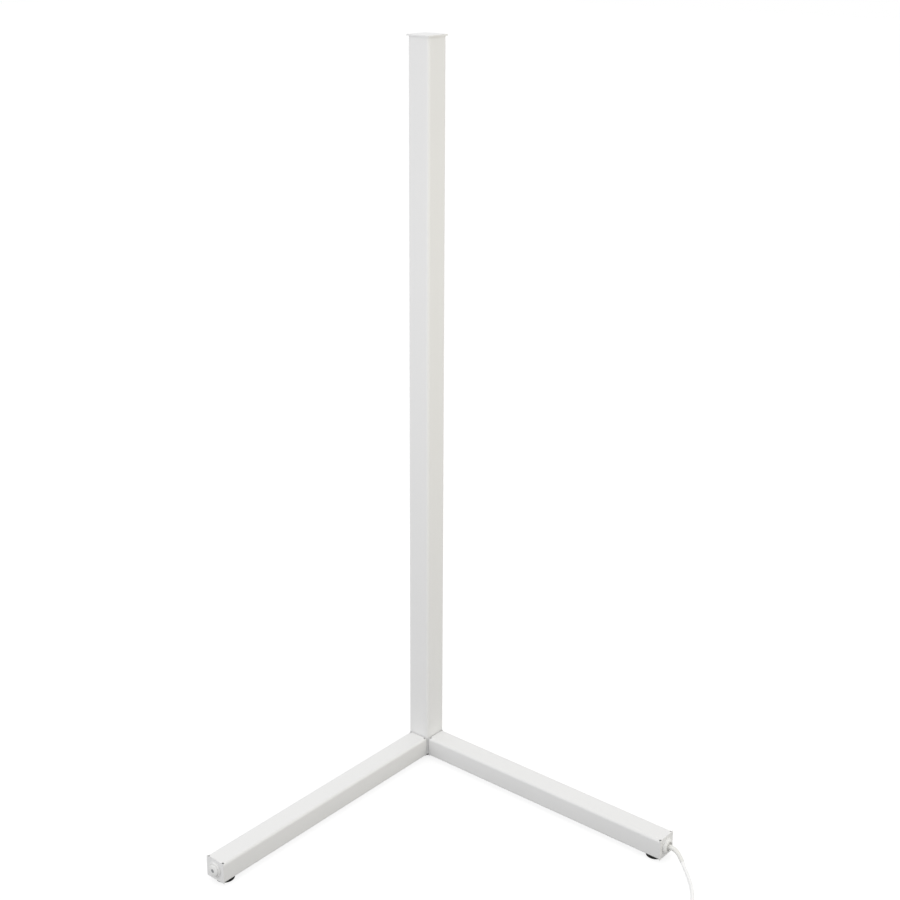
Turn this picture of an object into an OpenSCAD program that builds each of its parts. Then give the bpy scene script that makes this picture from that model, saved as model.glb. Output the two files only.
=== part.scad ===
// Corner floor lamp. A square post is lit from the edge that faces the corner of a room, and
// stands on two folded steel legs at a right angle, which lie along the two walls.
// The origin is on the floor under the post's axis, with +Z up. The right leg runs along +X and
// the left leg along -Y, so the corner of the room is towards -X and +Y.

/* [Post] */
// Width of the square post
post_w = 48; // [47:0.5:50]
// Radius of the post's long edges
post_edge_r = 5.5; // [4.5:0.5:6]
// Thickness of the post's walls
post_wall = 2; // [1.8:0.1:2.4]
// Height of the lamp, from the floor to the top of the cap
lamp_h = 1398; // [900:1:1800]
// Thickness of the square top cap
cap_t = 3; // [2.5:0.5:5]
// How far the top cap stands out past the post on every side
cap_overhang = 1.5; // [0.5:0.25:3]
// Thickness of the opal diffuser and of the cover below it
diffuser_t = 1.6; // [1.2:0.1:1.8]
// Height of the top of the cover that hides the bolts and the wiring
cover_top = 70; // [66:1:90]

/* [Legs] */
// Reach of each leg, from the post's axis to the leg's end face
leg_reach = 558; // [556:2:700]
// Width of a leg
leg_w = 42; // [40:0.5:43]
// Height of a leg's section
leg_h = 39; // [38:0.5:42]
// Thickness of the folded steel sheet
leg_wall = 1.5; // [1:0.1:1.8]
// Outside radius of a leg's long edges
leg_edge_r = 5; // [3:0.5:6]
// Width of the open slot along a leg's underside
slot_w = 22; // [18:1:22]
// How far a leg's front face lies behind the post's front face
leg_inset = 1.8; // [1:0.1:2.4]
// Thickness of the pad between the post and a leg
gasket_t = 1.2; // [1:0.1:2]

/* [Feet] */
// Diameter of a round foot
foot_d = 33; // [28:1:36]
// Height of a foot, which is the clearance under the legs
foot_h = 7.5; // [7:0.5:8]
// Distance from a leg's end face to the middle of its foot
foot_inset = 22; // [19:1:40]

/* [Light] */
// Width of the flexible strip of light sources
strip_w = 10; // [8:1:12]
// Distance from one light source to the next
chip_pitch = 16; // [12:1:40]

/* [Switch] */
// Diameter of the switch's ring and of the cable's gland
boss_d = 27; // [26:0.5:28]
// How far the push button and the gland stand out from a leg's end face
boss_h = 6.5; // [6:0.25:8]
// Travel of the push button
button_travel = 2.5; // [1:0.25:2.5]

/* [Cable] */
// Diameter of the mains cable
cable_d = 6; // [5:0.25:6]
// Radius of the coil's outer turn, at the middle of the cable
coil_r = 48; // [46:1:54]
// Distance from one turn to the next, and from one layer to the next
coil_pitch = 6.6; // [6.5:0.1:6.8]

/* [Hidden] */

$fn = 48;
cut = 1;             // how far a cutting shape runs past what it cuts
running_gap = 0.3;   // gap between pieces that move past each other or snap together
fit_gap = 0.05;      // radial gap of a shaft or thread in its hole

// Places that follow from the sizes above
half_post = post_w / 2;
inner_half = half_post - post_wall;
post_top = lamp_h - cap_t;
leg_start = half_post + gasket_t;
leg_mid_y = leg_inset - half_post + leg_w / 2;
leg_mid_z = foot_h + leg_h / 2;
floor_of_leg = foot_h + leg_wall;

// Screw ports inside the post's corners
port_r = 3.5;
port_bore_r = 1.45;
port_at = inner_half - port_r + running_gap;
port_places = [[port_at, port_at], [-port_at, -port_at], [port_at, -port_at]];

// Open side of the post, closed by the diffuser and the cover
opening_edge = 14;
lip_t = 1.6;
lip_depth = 4;
hook_t = 1.4;
barb = 0.9;

// Slanting web that carries the strip, at 45 degrees to the walls
web_t = 2;
web_v = 18.4;
strip_t = 0.3;
strip_bottom = cover_top + 5;
strip_top = post_top - 7;
chip = [3.5, 2.8, 0.8];
chip_count = floor((strip_top - strip_bottom - chip_pitch) / chip_pitch);

// Block that closes the foot of the post
block_flange_t = 3;
block_inset = 0.5;
block_plug_h = 5;
block_plug_w = 22;
block_top = foot_h + block_flange_t;
small_head_d = 6;
small_head_h = 1.9;
small_shank_d = 2.8;
small_screw_l = 12;

// Bolts between a leg and the post
bolt_d = 5;
bolt_hole_d = 5.5;
bolt_heights = [21.5, 37.5];
bolt_head_d = 9.5;
bolt_head_h = 2.75;
bolt_l = 16;
bolt_key = 3;
nut_af = 8;
nut_h = 4;
wire_hole_d = 9;
wire_y = leg_mid_y + 10;
wire_z = 29.5;

// Plate inside a leg and its screws
plate_t = 1.5;
plate_w = 31.6;
plate_gap = 8;
plate_screw_d = 3;
plate_screw_y = 13.5;
plate_screw_stations = [36, leg_reach / 2, leg_reach - 60];
plate_screw_head_d = 5.5;
plate_screw_head_h = 2;
stem_d = 8;
stem_h = 6;
relief_d = 4;
relief_inset = 3.6;
bend_r = 2;

// Gland and switch, both on the leg's middle line at the height where the cable leaves
exit_z = 27.5;
exit_x = 8;
gland_neck_d = 16;
gland_neck_l = 12;
gland_nut_af = 22;
gland_nut_h = 5;
sleeve_l = 18.5;
sleeve_wide_r = 5.2;
sleeve_narrow_r = 4.4;
flexible_steps = 6;
flexible_end_d = 7.3;
sleeve_collar_r = 6;
sleeve_collar_t = 1.5;
ring_h = 3.2;
switch_neck_d = 24.6;
switch_body_l = 23;
cap_bore_d = 22;
cap_d = cap_bore_d - 2 * running_gap;
cap_back = 1.5;
cap_edge_r = 2.6;
seat_clearance = 0.2;
seat_depth = button_travel - cap_back + seat_clearance;
stem_bore_d = 10;
stem_bore_l = 17;
button_stem_d = 5;
button_stem_l = 13.5;
lens_d = 6.8;
lens_t = 1;
ring_nut_d = 30;
ring_nut_h = 3;
spring_d = 8.4;
spring_wire_d = 0.8;
spring_turns = 6;

// Driver in the right leg
driver_start = 70;
driver_size = [140, 28, 18];
driver_edge = 12;
connector_size = [20, 20, 14];
connector_bottom = 39.5;
lead_d = 4;
strip_lead_d = 2.8;

// Free cable from the gland to the coil: lengths from the leg's end face and middle line, and
// heights above the floor
cord_route = [
    [8, 0, 27.5], [10, 0, 27.5], [15, -0.1, 27.1], [21, -0.7, 25.4], [26.6, -2, 22.4],
    [31.8, -4, 18.4], [37, -6.7, 14.2], [43, -10.5, 10.4], [50, -15.6, 7.4], [58, -22.2, 5.2],
    [66, -29.8, 3.9], [74, -38.6, 3.3], [82, -48.6, 3.1], [90, -60, 3.1], [98, -72.6, 3.1],
    [106, -86, 3.1], [115, -101.6, 3.1], [124, -117, 3.2], [132.6, -131.4, 3.6]
];
// Cable from the coil to the plug, measured from the coil's centre
tail_route = [
    [10.1, -49.6, 10.5], [1.4, -54.4, 9.9], [-7.4, -59, 8.8], [-16.4, -63.2, 7.7],
    [-25.6, -67, 7.1], [-33.1, -69.7, 6.9], [-40.7, -72.1, 6.9]
];
// Cable inside the right leg: lengths from the leg's end face, and heights
mains_route = [
    [8, 27.5], [-20, 27.5], [-38, 25.7], [-58, 20.9], [-83, 15.9], [-108, 13.7],
    [-300, 13.7], [-314, 14.3], [-326, 16.5], [-336, 19.1], [-342, 19.5]
];
// Leads of the driver and the switch, from the post's axis and the leg's middle line, up to the
// hole in the post
driver_route = [
    [70, 0, 19.5], [66, 0, 19.5], [60, 0.8, 20.1], [52, 3.4, 23.5], [42, 7.8, 27.9],
    [34, 10, 29.5]
];
switch_route = [
    [80, 0, 12.6], [66, 1, 14.5], [52, 4.4, 21.5], [42, 7.8, 27.5], [34, 10, 29.5]
];
// The switch's lead between the switch and that stretch, from the leg's end face
switch_start = [[-23, 27.5], [-28, 27.5], [-38, 25.5], [-54, 19.5], [-74, 13.9], [-92, 12.6]];
// Both leads inside the post, up to the connector, from the post's axis
rise_route = [
    [20, 8.8, 29.5], [13.4, 8.6, 29.9], [8.4, 7, 31.9], [5.4, 5.2, 34.9], [5, 5, 37.5],
    [5, 5, 39.5]
];
// Lead from the connector to the strip
strip_route = [
    [2, -2, 53.5], [2, -2, 55.5], [2.8, -2.8, 58.5], [5, -5, 63], [8.6, -8.6, 68.5],
    [10.6, -10.6, 73], [11, -11, 78]
];

// Coil: it starts on the floor side at its outer turn, spirals in, climbs a layer where the
// spiral reverses, and spirals out again on top
coil_centre = [leg_reach + 106, leg_mid_y - 177.6];
coil_turns = 7.25;
coil_start_angle = 30;
coil_low_z = 4;
rings_per_turn = 24;
coil_sides = 6;
cord_sides = 10;
lead_sides = 8;
climb_turns = 0.5;

function radius_at(t) = coil_r - coil_pitch * min(t, coil_turns - t);
function climbed(t) = max(0, min(1, (t - coil_turns / 2) / climb_turns + 0.5));
function eased(u) = u * u * (3 - 2 * u);
function coil_angle(t) = coil_start_angle - 360 * t;
function coil_point(t) = [
    coil_centre.x + radius_at(t) * cos(coil_angle(t)),
    coil_centre.y + radius_at(t) * sin(coil_angle(t)),
    coil_low_z + coil_pitch * eased(climbed(t))
];
// Level direction in which the cable runs at a place in the coil
function coil_heading(t) = [sin(coil_angle(t)), -cos(coil_angle(t)), 0];
straight = 3;
coil_in = coil_point(0) - cable_d * coil_heading(0);
coil_out = coil_point(coil_turns) + cable_d * coil_heading(coil_turns);
coil_path = concat(
    [coil_in],
    [for (i = [0 : coil_turns * rings_per_turn]) coil_point(i / rings_per_turn)],
    [coil_out]
);
// Least gap between turns, from points that are at least half a turn apart
coil_gap = min([
    for (i = [0 : len(coil_path) - 1], j = [i + rings_per_turn / 2 : len(coil_path) - 1])
        norm(coil_path[i] - coil_path[j])
]) - cable_d;

cord_path = concat(
    [for (p = cord_route) [leg_reach + p.x, leg_mid_y + p.y, p.z]],
    [coil_in - straight * coil_heading(0), coil_in]
);
tail_path = concat(
    [coil_out, coil_out + straight * coil_heading(coil_turns)],
    [for (p = tail_route) [coil_centre.x + p.x, coil_centre.y + p.y, p.z]]
);
function path_length(p) =
    [for (i = [1 : len(p) - 1]) norm(p[i] - p[i - 1])] * [for (i = [1 : len(p) - 1]) 1];
cord_length = path_length(cord_path) + path_length(coil_path) + path_length(tail_path);
echo(coil_gap = coil_gap, cord_length = cord_length);

// Plug, lying flat beside the coil in line with the cable's last stretch
plug_at = tail_path[len(tail_path) - 1];
plug_run = plug_at - tail_path[len(tail_path) - 2];
plug_turn = atan2(plug_run.y, plug_run.x);
plug_neck_l = 22;
plug_neck_r = 5.2;
plug_rib_r = 6;
plug_ribs = 5;
plug_l = 33;
plug_w = 35.3;
plug_t = 13.6;
plug_edge_r = 4;
pin_d = 4;
pin_l = 19;
pin_spacing = 18.6;
pin_sleeve_l = 10;
pin_sleeve_d = 3.9;
pin_core_d = 3;

// Tie round the coil, on the side away from the plug
tie_angle = 150;
tie_w = 8;
tie_t = 0.8;
tie_in_r = 20.6;
tie_out_r = 48;
tie_low_z = 0.9;
tie_high_z = 13.9;

// ---- shared shapes ----

// Square outline with round corners that are true arcs
module rounded_rect(w, h, r) {
    square([w - 2 * r, h], center = true);
    square([w, h - 2 * r], center = true);
    for (sx = [-1, 1], sy = [-1, 1])
        translate([sx * (w / 2 - r), sy * (h / 2 - r)]) circle(r);
}

// Swaps the right leg's side for the left leg's: (x, y) goes to (-y, -x)
module on_left() {
    mirror([1, 1, 0]) children();
}

// Turns a section drawn across the leg so that it runs along +X from x0 to x1
module along_leg(x0, x1) {
    translate([x0, leg_mid_y, leg_mid_z]) rotate([90, 0, 90]) linear_extrude(x1 - x0) children();
}

// Puts a shape of revolution on the leg's middle line, pointing out of the leg's end
module at_leg_end() {
    translate([leg_reach, leg_mid_y, exit_z]) rotate([0, 90, 0]) children();
}

function unit(v) = v / norm(v);
function heading(p, i) = unit(p[min(i + 1, len(p) - 1)] - p[max(i - 1, 0)]);
function across(p, i, n) = unit(n - (n * heading(p, i)) * heading(p, i));
// One crosswise direction per point, each turned as little as possible from the one before
function crosswise(p, i, n) =
    i == len(p) ? [] : let (m = across(p, i, n)) concat([m], crosswise(p, i + 1, m));

// Round tube of one piece along a path
module swept_tube(path, d, sides) {
    normals = crosswise(path, 0, [0.02, 0.01, 1]);
    last = len(path) - 1;
    points = [
        for (i = [0 : last], k = [0 : sides - 1])
            let (n = normals[i], b = cross(heading(path, i), n), a = 360 * k / sides)
            path[i] + d / 2 * (cos(a) * n + sin(a) * b)
    ];
    walls = [
        for (i = [0 : last - 1], k = [0 : sides - 1])
            let (
                a = i * sides + k,
                b = i * sides + (k + 1) % sides,
                c = b + sides,
                e = a + sides
            )
            each [[a, e, b], [b, e, c]]
    ];
    start_cap = [for (k = [1 : sides - 2]) [0, k, k + 1]];
    end_cap = [for (k = [1 : sides - 2]) [last * sides, last * sides + k + 1, last * sides + k]];
    polyhedron(points, concat(walls, start_cap, end_cap));
}

// Tapering sleeve round a path, open at both ends
module swept_sleeve(path, start_d, end_d, bore_d, sides) {
    normals = crosswise(path, 0, [0.02, 0.01, 1]);
    last = len(path) - 1;
    rings = (last + 1) * sides;
    points = [
        for (layer = [0, 1], i = [0 : last], k = [0 : sides - 1])
            let (
                n = normals[i],
                b = cross(heading(path, i), n),
                a = 360 * k / sides,
                d = layer == 1 ? bore_d : start_d + (end_d - start_d) * i / last
            )
            path[i] + d / 2 * (cos(a) * n + sin(a) * b)
    ];
    walls = [
        for (i = [0 : last - 1], k = [0 : sides - 1])
            let (
                a = i * sides + k,
                b = i * sides + (k + 1) % sides,
                c = b + sides,
                e = a + sides
            )
            each [
                [a, e, b], [b, e, c],
                [rings + a, rings + b, rings + e], [rings + b, rings + c, rings + e]
            ]
    ];
    ends = [
        for (k = [0 : sides - 1])
            let (
                a = k,
                b = (k + 1) % sides,
                far = last * sides
            )
            each [
                [a, b, rings + b], [a, rings + b, rings + a],
                [far + a, far + rings + b, far + b], [far + a, far + rings + a, far + rings + b]
            ]
    ];
    polyhedron(points, concat(walls, ends));
}

// ---- post ----

module post_section() {
    difference() {
        rounded_rect(post_w, post_w, post_edge_r);
        rounded_rect(2 * inner_half, 2 * inner_half, post_edge_r - post_wall);
        translate([-post_w, -opening_edge]) square([post_w + opening_edge, 2 * post_w]);
    }
    lips();
    on_left() lips();
    for (p = port_places) translate(p) port();
}

// Edge of the opening, which the hooks of the diffuser and cover snap behind
module lips() {
    translate([opening_edge, inner_half - lip_depth]) square([lip_t, lip_depth + post_wall / 2]);
}

module port() {
    difference() {
        circle(port_r);
        circle(port_bore_r);
    }
}

module web_section() {
    intersection() {
        rounded_rect(post_w, post_w, post_edge_r);
        rotate(45) translate([-post_w / 2, -web_v - web_t / 2]) square([post_w, web_t]);
    }
}

module post_profile() {
    color("whitesmoke") difference() {
        union() {
            translate([0, 0, block_top]) linear_extrude(post_top - block_top) difference() {
                post_section();
                for (p = port_places) translate(p) circle(port_bore_r);
            }
            translate([0, 0, cover_top]) linear_extrude(post_top - cover_top) web_section();
        }
        leg_fixing_holes();
        on_left() leg_fixing_holes();
    }
}

// Holes through the post's wall, a gasket and the leg's inner end
module leg_fixing_holes() {
    for (z = bolt_heights)
        translate([inner_half - cut, leg_mid_y, z]) rotate([0, 90, 0])
            cylinder(d = bolt_hole_d, h = leg_start + leg_wall - inner_half + 2 * cut);
    translate([inner_half - cut, wire_y, wire_z]) rotate([0, 90, 0])
        cylinder(d = wire_hole_d, h = leg_start + leg_wall - inner_half + 2 * cut);
}

// Section of the diffuser and of the cover: two faces round the wall-side corner
module corner_cover_section() {
    edge = opening_edge - running_gap;
    inner = post_w - 2 * diffuser_t;
    intersection() {
        difference() {
            rounded_rect(post_w, post_w, post_edge_r);
            rounded_rect(inner, inner, post_edge_r - diffuser_t);
        }
        translate([-post_w, -edge]) square([post_w + edge, 2 * post_w]);
    }
    hooks();
    on_left() hooks();
}

module hooks() {
    edge = opening_edge - running_gap;
    low = inner_half - lip_depth - barb - running_gap;
    translate([edge - hook_t, low]) square([hook_t, half_post - diffuser_t / 2 - low]);
    translate([edge - hook_t, low]) square([hook_t + barb, barb]);
}

module diffuser() {
    color("ivory") translate([0, 0, cover_top + running_gap])
        linear_extrude(post_top - cover_top - 2 * running_gap) corner_cover_section();
}

module access_cover() {
    color("whitesmoke") translate([0, 0, block_top + running_gap])
        linear_extrude(cover_top - block_top - running_gap) corner_cover_section();
}

module led_strip() {
    color("white") rotate(45) translate([-strip_w / 2, -web_v + web_t / 2, strip_bottom])
        cube([strip_w, strip_t, strip_top - strip_bottom]);
}

module led_chips() {
    color("khaki") rotate(45) for (i = [1 : chip_count])
        translate([-chip.y / 2, -web_v + web_t / 2 + strip_t, strip_bottom + i * chip_pitch - chip.x / 2])
            cube([chip.y, chip.z, chip.x]);
}

// ---- top cap ----

module top_cap() {
    w = post_w + 2 * cap_overhang;
    color("whitesmoke") difference() {
        translate([-w / 2, -w / 2, post_top]) cube([w, w, cap_t]);
        for (p = port_places) translate([p.x, p.y, lamp_h]) countersink(fit_gap);
    }
}

// Countersunk screw pointing down, with its flat head at the origin
module countersink(gap) {
    head_r = small_head_d / 2 + gap;
    shank_r = small_shank_d / 2 + gap;
    rotate_extrude() polygon([
        [0, gap], [head_r, gap], [head_r, -gap], [shank_r, small_shank_d / 2 - small_head_d / 2],
        [shank_r, -small_screw_l], [0, -small_screw_l]
    ]);
}

module top_cap_screws() {
    color("whitesmoke") for (p = port_places) translate([p.x, p.y, lamp_h]) countersink(0);
}

// ---- foot of the post ----

module post_foot_block() {
    flange = post_w - 2 * block_inset;
    plug_l_across = 2 * inner_half - running_gap;
    color("#202020") difference() {
        union() {
            translate([0, 0, foot_h]) linear_extrude(block_flange_t)
                rounded_rect(flange, flange, post_edge_r - block_inset);
            translate([-plug_l_across / 2, -block_plug_w / 2, block_top - cut])
                cube([plug_l_across, block_plug_w, block_plug_h + cut]);
            translate([-block_plug_w / 2, -plug_l_across / 2, block_top - cut])
                cube([block_plug_w, plug_l_across, block_plug_h + cut]);
        }
        translate([0, 0, foot_h - cut])
            cylinder(d = stem_d + 2 * fit_gap, h = block_flange_t + block_plug_h + 2 * cut);
        for (p = port_places) translate([p.x, p.y, foot_h - cut]) {
            cylinder(d = small_shank_d + 2 * running_gap, h = block_flange_t + 2 * cut);
            cylinder(d = small_head_d + 2 * running_gap, h = small_head_h + running_gap + cut);
        }
    }
}

module foot_block_screws() {
    head_z = foot_h + running_gap;
    color("silver") for (p = port_places) translate([p.x, p.y, head_z]) {
        cylinder(d = small_head_d, h = small_head_h);
        cylinder(d = small_shank_d, h = small_screw_l);
    }
}

// Round foot with a push-in stem
module foot() {
    r = foot_d / 2;
    edge = 1;
    rotate_extrude() polygon([
        [0, 0], [r - edge, 0], [r, edge], [r, foot_h], [stem_d / 2, foot_h],
        [stem_d / 2, foot_h + stem_h - edge], [stem_d / 2 - edge, foot_h + stem_h], [0, foot_h + stem_h]
    ]);
}

module rear_foot() {
    color("#181818") foot();
}

// ---- legs ----

module leg_section() {
    difference() {
        rounded_rect(leg_w, leg_h, leg_edge_r);
        rounded_rect(leg_w - 2 * leg_wall, leg_h - 2 * leg_wall, leg_edge_r - leg_wall);
        translate([-slot_w / 2, -leg_h / 2 - cut]) square([slot_w, leg_wall + 2 * cut]);
    }
}

// Side view of the leg: square at the bottom, bent with a small radius at the top
module leg_side_view() {
    l = leg_reach - leg_start;
    translate([leg_start, foot_h]) square([l, leg_h - bend_r]);
    translate([leg_start + bend_r, foot_h]) square([l - 2 * bend_r, leg_h]);
    for (x = [leg_start + bend_r, leg_reach - bend_r])
        translate([x, foot_h + leg_h - bend_r]) circle(bend_r);
}

module leg_shell(end_hole_d) {
    difference() {
        intersection() {
            union() {
                along_leg(leg_start, leg_reach) leg_section();
                for (x = [leg_start, leg_reach - leg_wall])
                    along_leg(x, x + leg_wall) square([leg_w, leg_h], center = true);
            }
            translate([0, leg_mid_y + leg_w / 2, 0]) rotate([90, 0, 0])
                linear_extrude(leg_w) leg_side_view();
        }
        leg_fixing_holes();
        translate([leg_reach - leg_wall - cut, leg_mid_y, exit_z]) rotate([0, 90, 0])
            cylinder(d = end_hole_d, h = leg_wall + 2 * cut);
        for (x = [leg_start + leg_wall, leg_reach - leg_wall], s = [-1, 1]) corner_relief(x, s);
        for (x = plate_screw_stations, s = [-1, 1])
            translate([x, leg_mid_y + s * plate_screw_y, foot_h - cut])
                cylinder(d = plate_screw_d + 2 * running_gap, h = leg_wall + 2 * cut);
    }
}

// Round hole through the upper edge where an end flap was folded down
module corner_relief(flap_x, side) {
    inward = flap_x < leg_reach / 2 ? 1 : -1;
    translate([
        flap_x + inward * relief_d / 4,
        leg_mid_y + side * (leg_w / 2 - relief_inset),
        foot_h + leg_h - leg_edge_r
    ]) cylinder(d = relief_d, h = leg_edge_r + cut, $fn = 24);
}

module right_leg_shell() {
    color("whitesmoke") leg_shell(gland_neck_d + 2 * running_gap);
}

module left_leg_shell() {
    color("whitesmoke") on_left() leg_shell(switch_neck_d + running_gap);
}

module base_plate() {
    start = leg_start + plate_gap;
    difference() {
        translate([start, leg_mid_y - plate_w / 2, floor_of_leg])
            cube([leg_reach - plate_gap - start, plate_w, plate_t]);
        translate([leg_reach - foot_inset, leg_mid_y, floor_of_leg - cut])
            cylinder(d = stem_d + 2 * fit_gap, h = plate_t + 2 * cut);
        for (x = plate_screw_stations, s = [-1, 1])
            translate([x, leg_mid_y + s * plate_screw_y, floor_of_leg - cut])
                cylinder(d = plate_screw_d + 2 * fit_gap, h = plate_t + 2 * cut);
    }
}

module right_base_plate() {
    color("lightsteelblue") base_plate();
}

module left_base_plate() {
    color("lightsteelblue") on_left() base_plate();
}

module plate_screws() {
    for (x = plate_screw_stations, s = [-1, 1])
        translate([x, leg_mid_y + s * plate_screw_y, foot_h]) {
            translate([0, 0, -plate_screw_head_h])
                cylinder(d = plate_screw_head_d, h = plate_screw_head_h);
            cylinder(d = plate_screw_d, h = leg_wall + plate_t + plate_screw_head_h);
        }
}

module base_plate_screws() {
    color("silver") {
        plate_screws();
        on_left() plate_screws();
    }
}

module gasket() {
    inset = 3;
    difference() {
        translate([half_post, leg_mid_y - leg_w / 2 + inset, foot_h + inset])
            cube([gasket_t, leg_w - 2 * inset, leg_h - 2 * inset]);
        leg_fixing_holes();
    }
}

module leg_gaskets() {
    color("#202020") {
        gasket();
        on_left() gasket();
    }
}

// Button-head bolt from inside the post, with a hexagon socket
module leg_bolt() {
    rotate([0, 90, 0]) difference() {
        union() {
            translate([0, 0, -bolt_head_h]) cylinder(d = bolt_head_d, h = bolt_head_h);
            cylinder(d = bolt_d, h = bolt_l);
        }
        translate([0, 0, -bolt_head_h - cut])
            cylinder(d = bolt_key / cos(30), h = bolt_head_h / 2 + cut, $fn = 6);
    }
}

module leg_bolts() {
    color("silver") {
        for (z = bolt_heights) translate([inner_half, leg_mid_y, z]) leg_bolt();
        on_left() for (z = bolt_heights) translate([inner_half, leg_mid_y, z]) leg_bolt();
    }
}

module leg_nut() {
    rotate([0, 90, 0]) difference() {
        cylinder(d = nut_af / cos(30), h = nut_h, $fn = 6);
        translate([0, 0, -cut]) cylinder(d = bolt_d + 2 * fit_gap, h = nut_h + 2 * cut);
    }
}

module leg_nuts() {
    x = leg_start + leg_wall;
    color("silver") {
        for (z = bolt_heights) translate([x, leg_mid_y, z]) leg_nut();
        on_left() for (z = bolt_heights) translate([x, leg_mid_y, z]) leg_nut();
    }
}

module right_foot() {
    color("#181818") translate([leg_reach - foot_inset, leg_mid_y, 0]) foot();
}

module left_foot() {
    color("#181818") on_left() translate([leg_reach - foot_inset, leg_mid_y, 0]) foot();
}

// ---- cable entry at the end of the right leg ----

// Radius of the strain relief at a distance outwards from the leg's end face
function sleeve_r(x) =
    sleeve_narrow_r + (sleeve_wide_r - sleeve_narrow_r) * (exit_x - x) / sleeve_l;

module cable_gland() {
    r = boss_d / 2;
    round_r = 4;
    back = leg_wall - gland_neck_l;
    color("whitesmoke") at_leg_end() difference() {
        union() {
            cylinder(r = r, h = boss_h - round_r);
            rotate_extrude() translate([r - round_r, boss_h - round_r]) intersection() {
                circle(round_r);
                square(round_r);
            }
            cylinder(r = r - round_r, h = boss_h);
            translate([0, 0, back]) cylinder(d = gland_neck_d, h = -back + cut);
        }
        rotate_extrude() polygon([
            [0, back - cut], [sleeve_r(back - cut) + fit_gap, back - cut],
            [sleeve_r(boss_h + cut) + fit_gap, boss_h + cut], [0, boss_h + cut]
        ]);
    }
}

module gland_nut() {
    color("whitesmoke") at_leg_end() translate([0, 0, -leg_wall - gland_nut_h]) difference() {
        cylinder(d = gland_nut_af / cos(30), h = gland_nut_h, $fn = 6);
        translate([0, 0, -cut]) cylinder(d = gland_neck_d + 2 * fit_gap, h = gland_nut_h + 2 * cut);
    }
}

// Straight part held by the gland, and the flexible part that bends down with the cable
module strain_relief() {
    back = exit_x - sleeve_l;
    bore_r = cable_d / 2 + fit_gap;
    flexible_bore_d = 2 * (bore_r + fit_gap) / cos(180 / cord_sides);
    bend = [for (i = [0 : flexible_steps]) cord_path[i]];
    color("whitesmoke") {
        at_leg_end() rotate_extrude() polygon([
            [bore_r, back - sleeve_collar_t], [sleeve_collar_r, back - sleeve_collar_t],
            [sleeve_collar_r, back], [sleeve_wide_r, back], [sleeve_narrow_r, exit_x],
            [sleeve_narrow_r, exit_x + cut], [bore_r, exit_x + cut]
        ]);
        swept_sleeve(bend, 2 * (sleeve_narrow_r - fit_gap), flexible_end_d, flexible_bore_d, cord_sides);
    }
}

// ---- push switch at the end of the left leg ----

module switch_housing() {
    r = boss_d / 2;
    round_r = 1.6;
    seat = -seat_depth;
    color("whitesmoke") on_left() at_leg_end() difference() {
        union() {
            cylinder(r = r, h = ring_h - round_r);
            rotate_extrude() translate([r - round_r, ring_h - round_r]) intersection() {
                circle(round_r);
                square(round_r);
            }
            cylinder(r = r - round_r, h = ring_h);
            translate([0, 0, -switch_body_l]) cylinder(d = switch_neck_d, h = switch_body_l + cut);
        }
        translate([0, 0, seat]) cylinder(d = cap_bore_d, h = ring_h - seat + cut);
        translate([0, 0, -stem_bore_l]) cylinder(d = stem_bore_d, h = stem_bore_l);
    }
}

module switch_ring_nut() {
    color("whitesmoke") on_left() at_leg_end() translate([0, 0, -leg_wall - ring_nut_h])
        difference() {
            cylinder(d = ring_nut_d, h = ring_nut_h);
            translate([0, 0, -cut])
                cylinder(d = switch_neck_d + 2 * fit_gap, h = ring_nut_h + 2 * cut);
        }
}

module button_cap() {
    r = cap_d / 2;
    round_r = cap_edge_r;
    color("whitesmoke") on_left() at_leg_end() difference() {
        union() {
            translate([0, 0, cap_back]) cylinder(r = r, h = boss_h - round_r - cap_back);
            rotate_extrude() translate([r - round_r, boss_h - round_r]) intersection() {
                circle(round_r);
                square(round_r);
            }
            translate([0, 0, cap_back]) cylinder(r = r - round_r, h = boss_h - cap_back);
            translate([0, 0, cap_back - button_stem_l])
                cylinder(d = button_stem_d, h = button_stem_l + cut);
        }
        translate([0, 0, boss_h - lens_t - 2 * fit_gap])
            cylinder(d = lens_d + 2 * fit_gap, h = lens_t + cut);
    }
}

module button_lens() {
    color("gray") on_left() at_leg_end() translate([0, 0, boss_h - lens_t - fit_gap])
        cylinder(d = lens_d, h = lens_t);
}

module button_spring() {
    start = running_gap - stem_bore_l + spring_wire_d / 2;
    end = cap_back - running_gap - spring_wire_d / 2;
    r = (spring_d - spring_wire_d) / 2;
    rings = 12;
    path = [
        for (i = [0 : spring_turns * rings])
            let (a = 360 * i / rings)
            [r * cos(a), r * sin(a), start + (end - start) * i / (spring_turns * rings)]
    ];
    color("silver") on_left() at_leg_end() swept_tube(path, spring_wire_d, coil_sides);
}

// ---- electrics inside ----

module led_driver() {
    color("gainsboro") translate([driver_start, leg_mid_y - driver_size.y / 2, floor_of_leg + plate_t])
        difference() {
            cube(driver_size);
            for (x = [-cut, driver_size.x - driver_edge])
                translate([x, -cut, driver_size.z / 2])
                    cube([driver_edge + cut, driver_size.y / 4 + cut, driver_size.z]);
        }
}

module mains_lead() {
    driver_end = driver_start + driver_size.x;
    driver_mid_z = floor_of_leg + plate_t + driver_size.z / 2;
    path = concat(
        [for (p = mains_route) [leg_reach + p.x, leg_mid_y, p.y]],
        [[driver_end, leg_mid_y, driver_mid_z]]
    );
    color("whitesmoke") swept_tube(path, cable_d, lead_sides);
}

// Places of a lead's route inside a leg
function in_leg(route) = [for (p = route) [p.x, leg_mid_y + p.y, p.z]];

module driver_lead() {
    path = concat(in_leg(driver_route), rise_route);
    color("whitesmoke") swept_tube(path, lead_d, lead_sides);
}

module switch_lead() {
    start = [for (p = switch_start) [leg_reach + p.x, leg_mid_y, p.y]];
    path = concat(start, in_leg(switch_route), rise_route);
    color("whitesmoke") on_left() swept_tube(path, lead_d, lead_sides);
}

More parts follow.
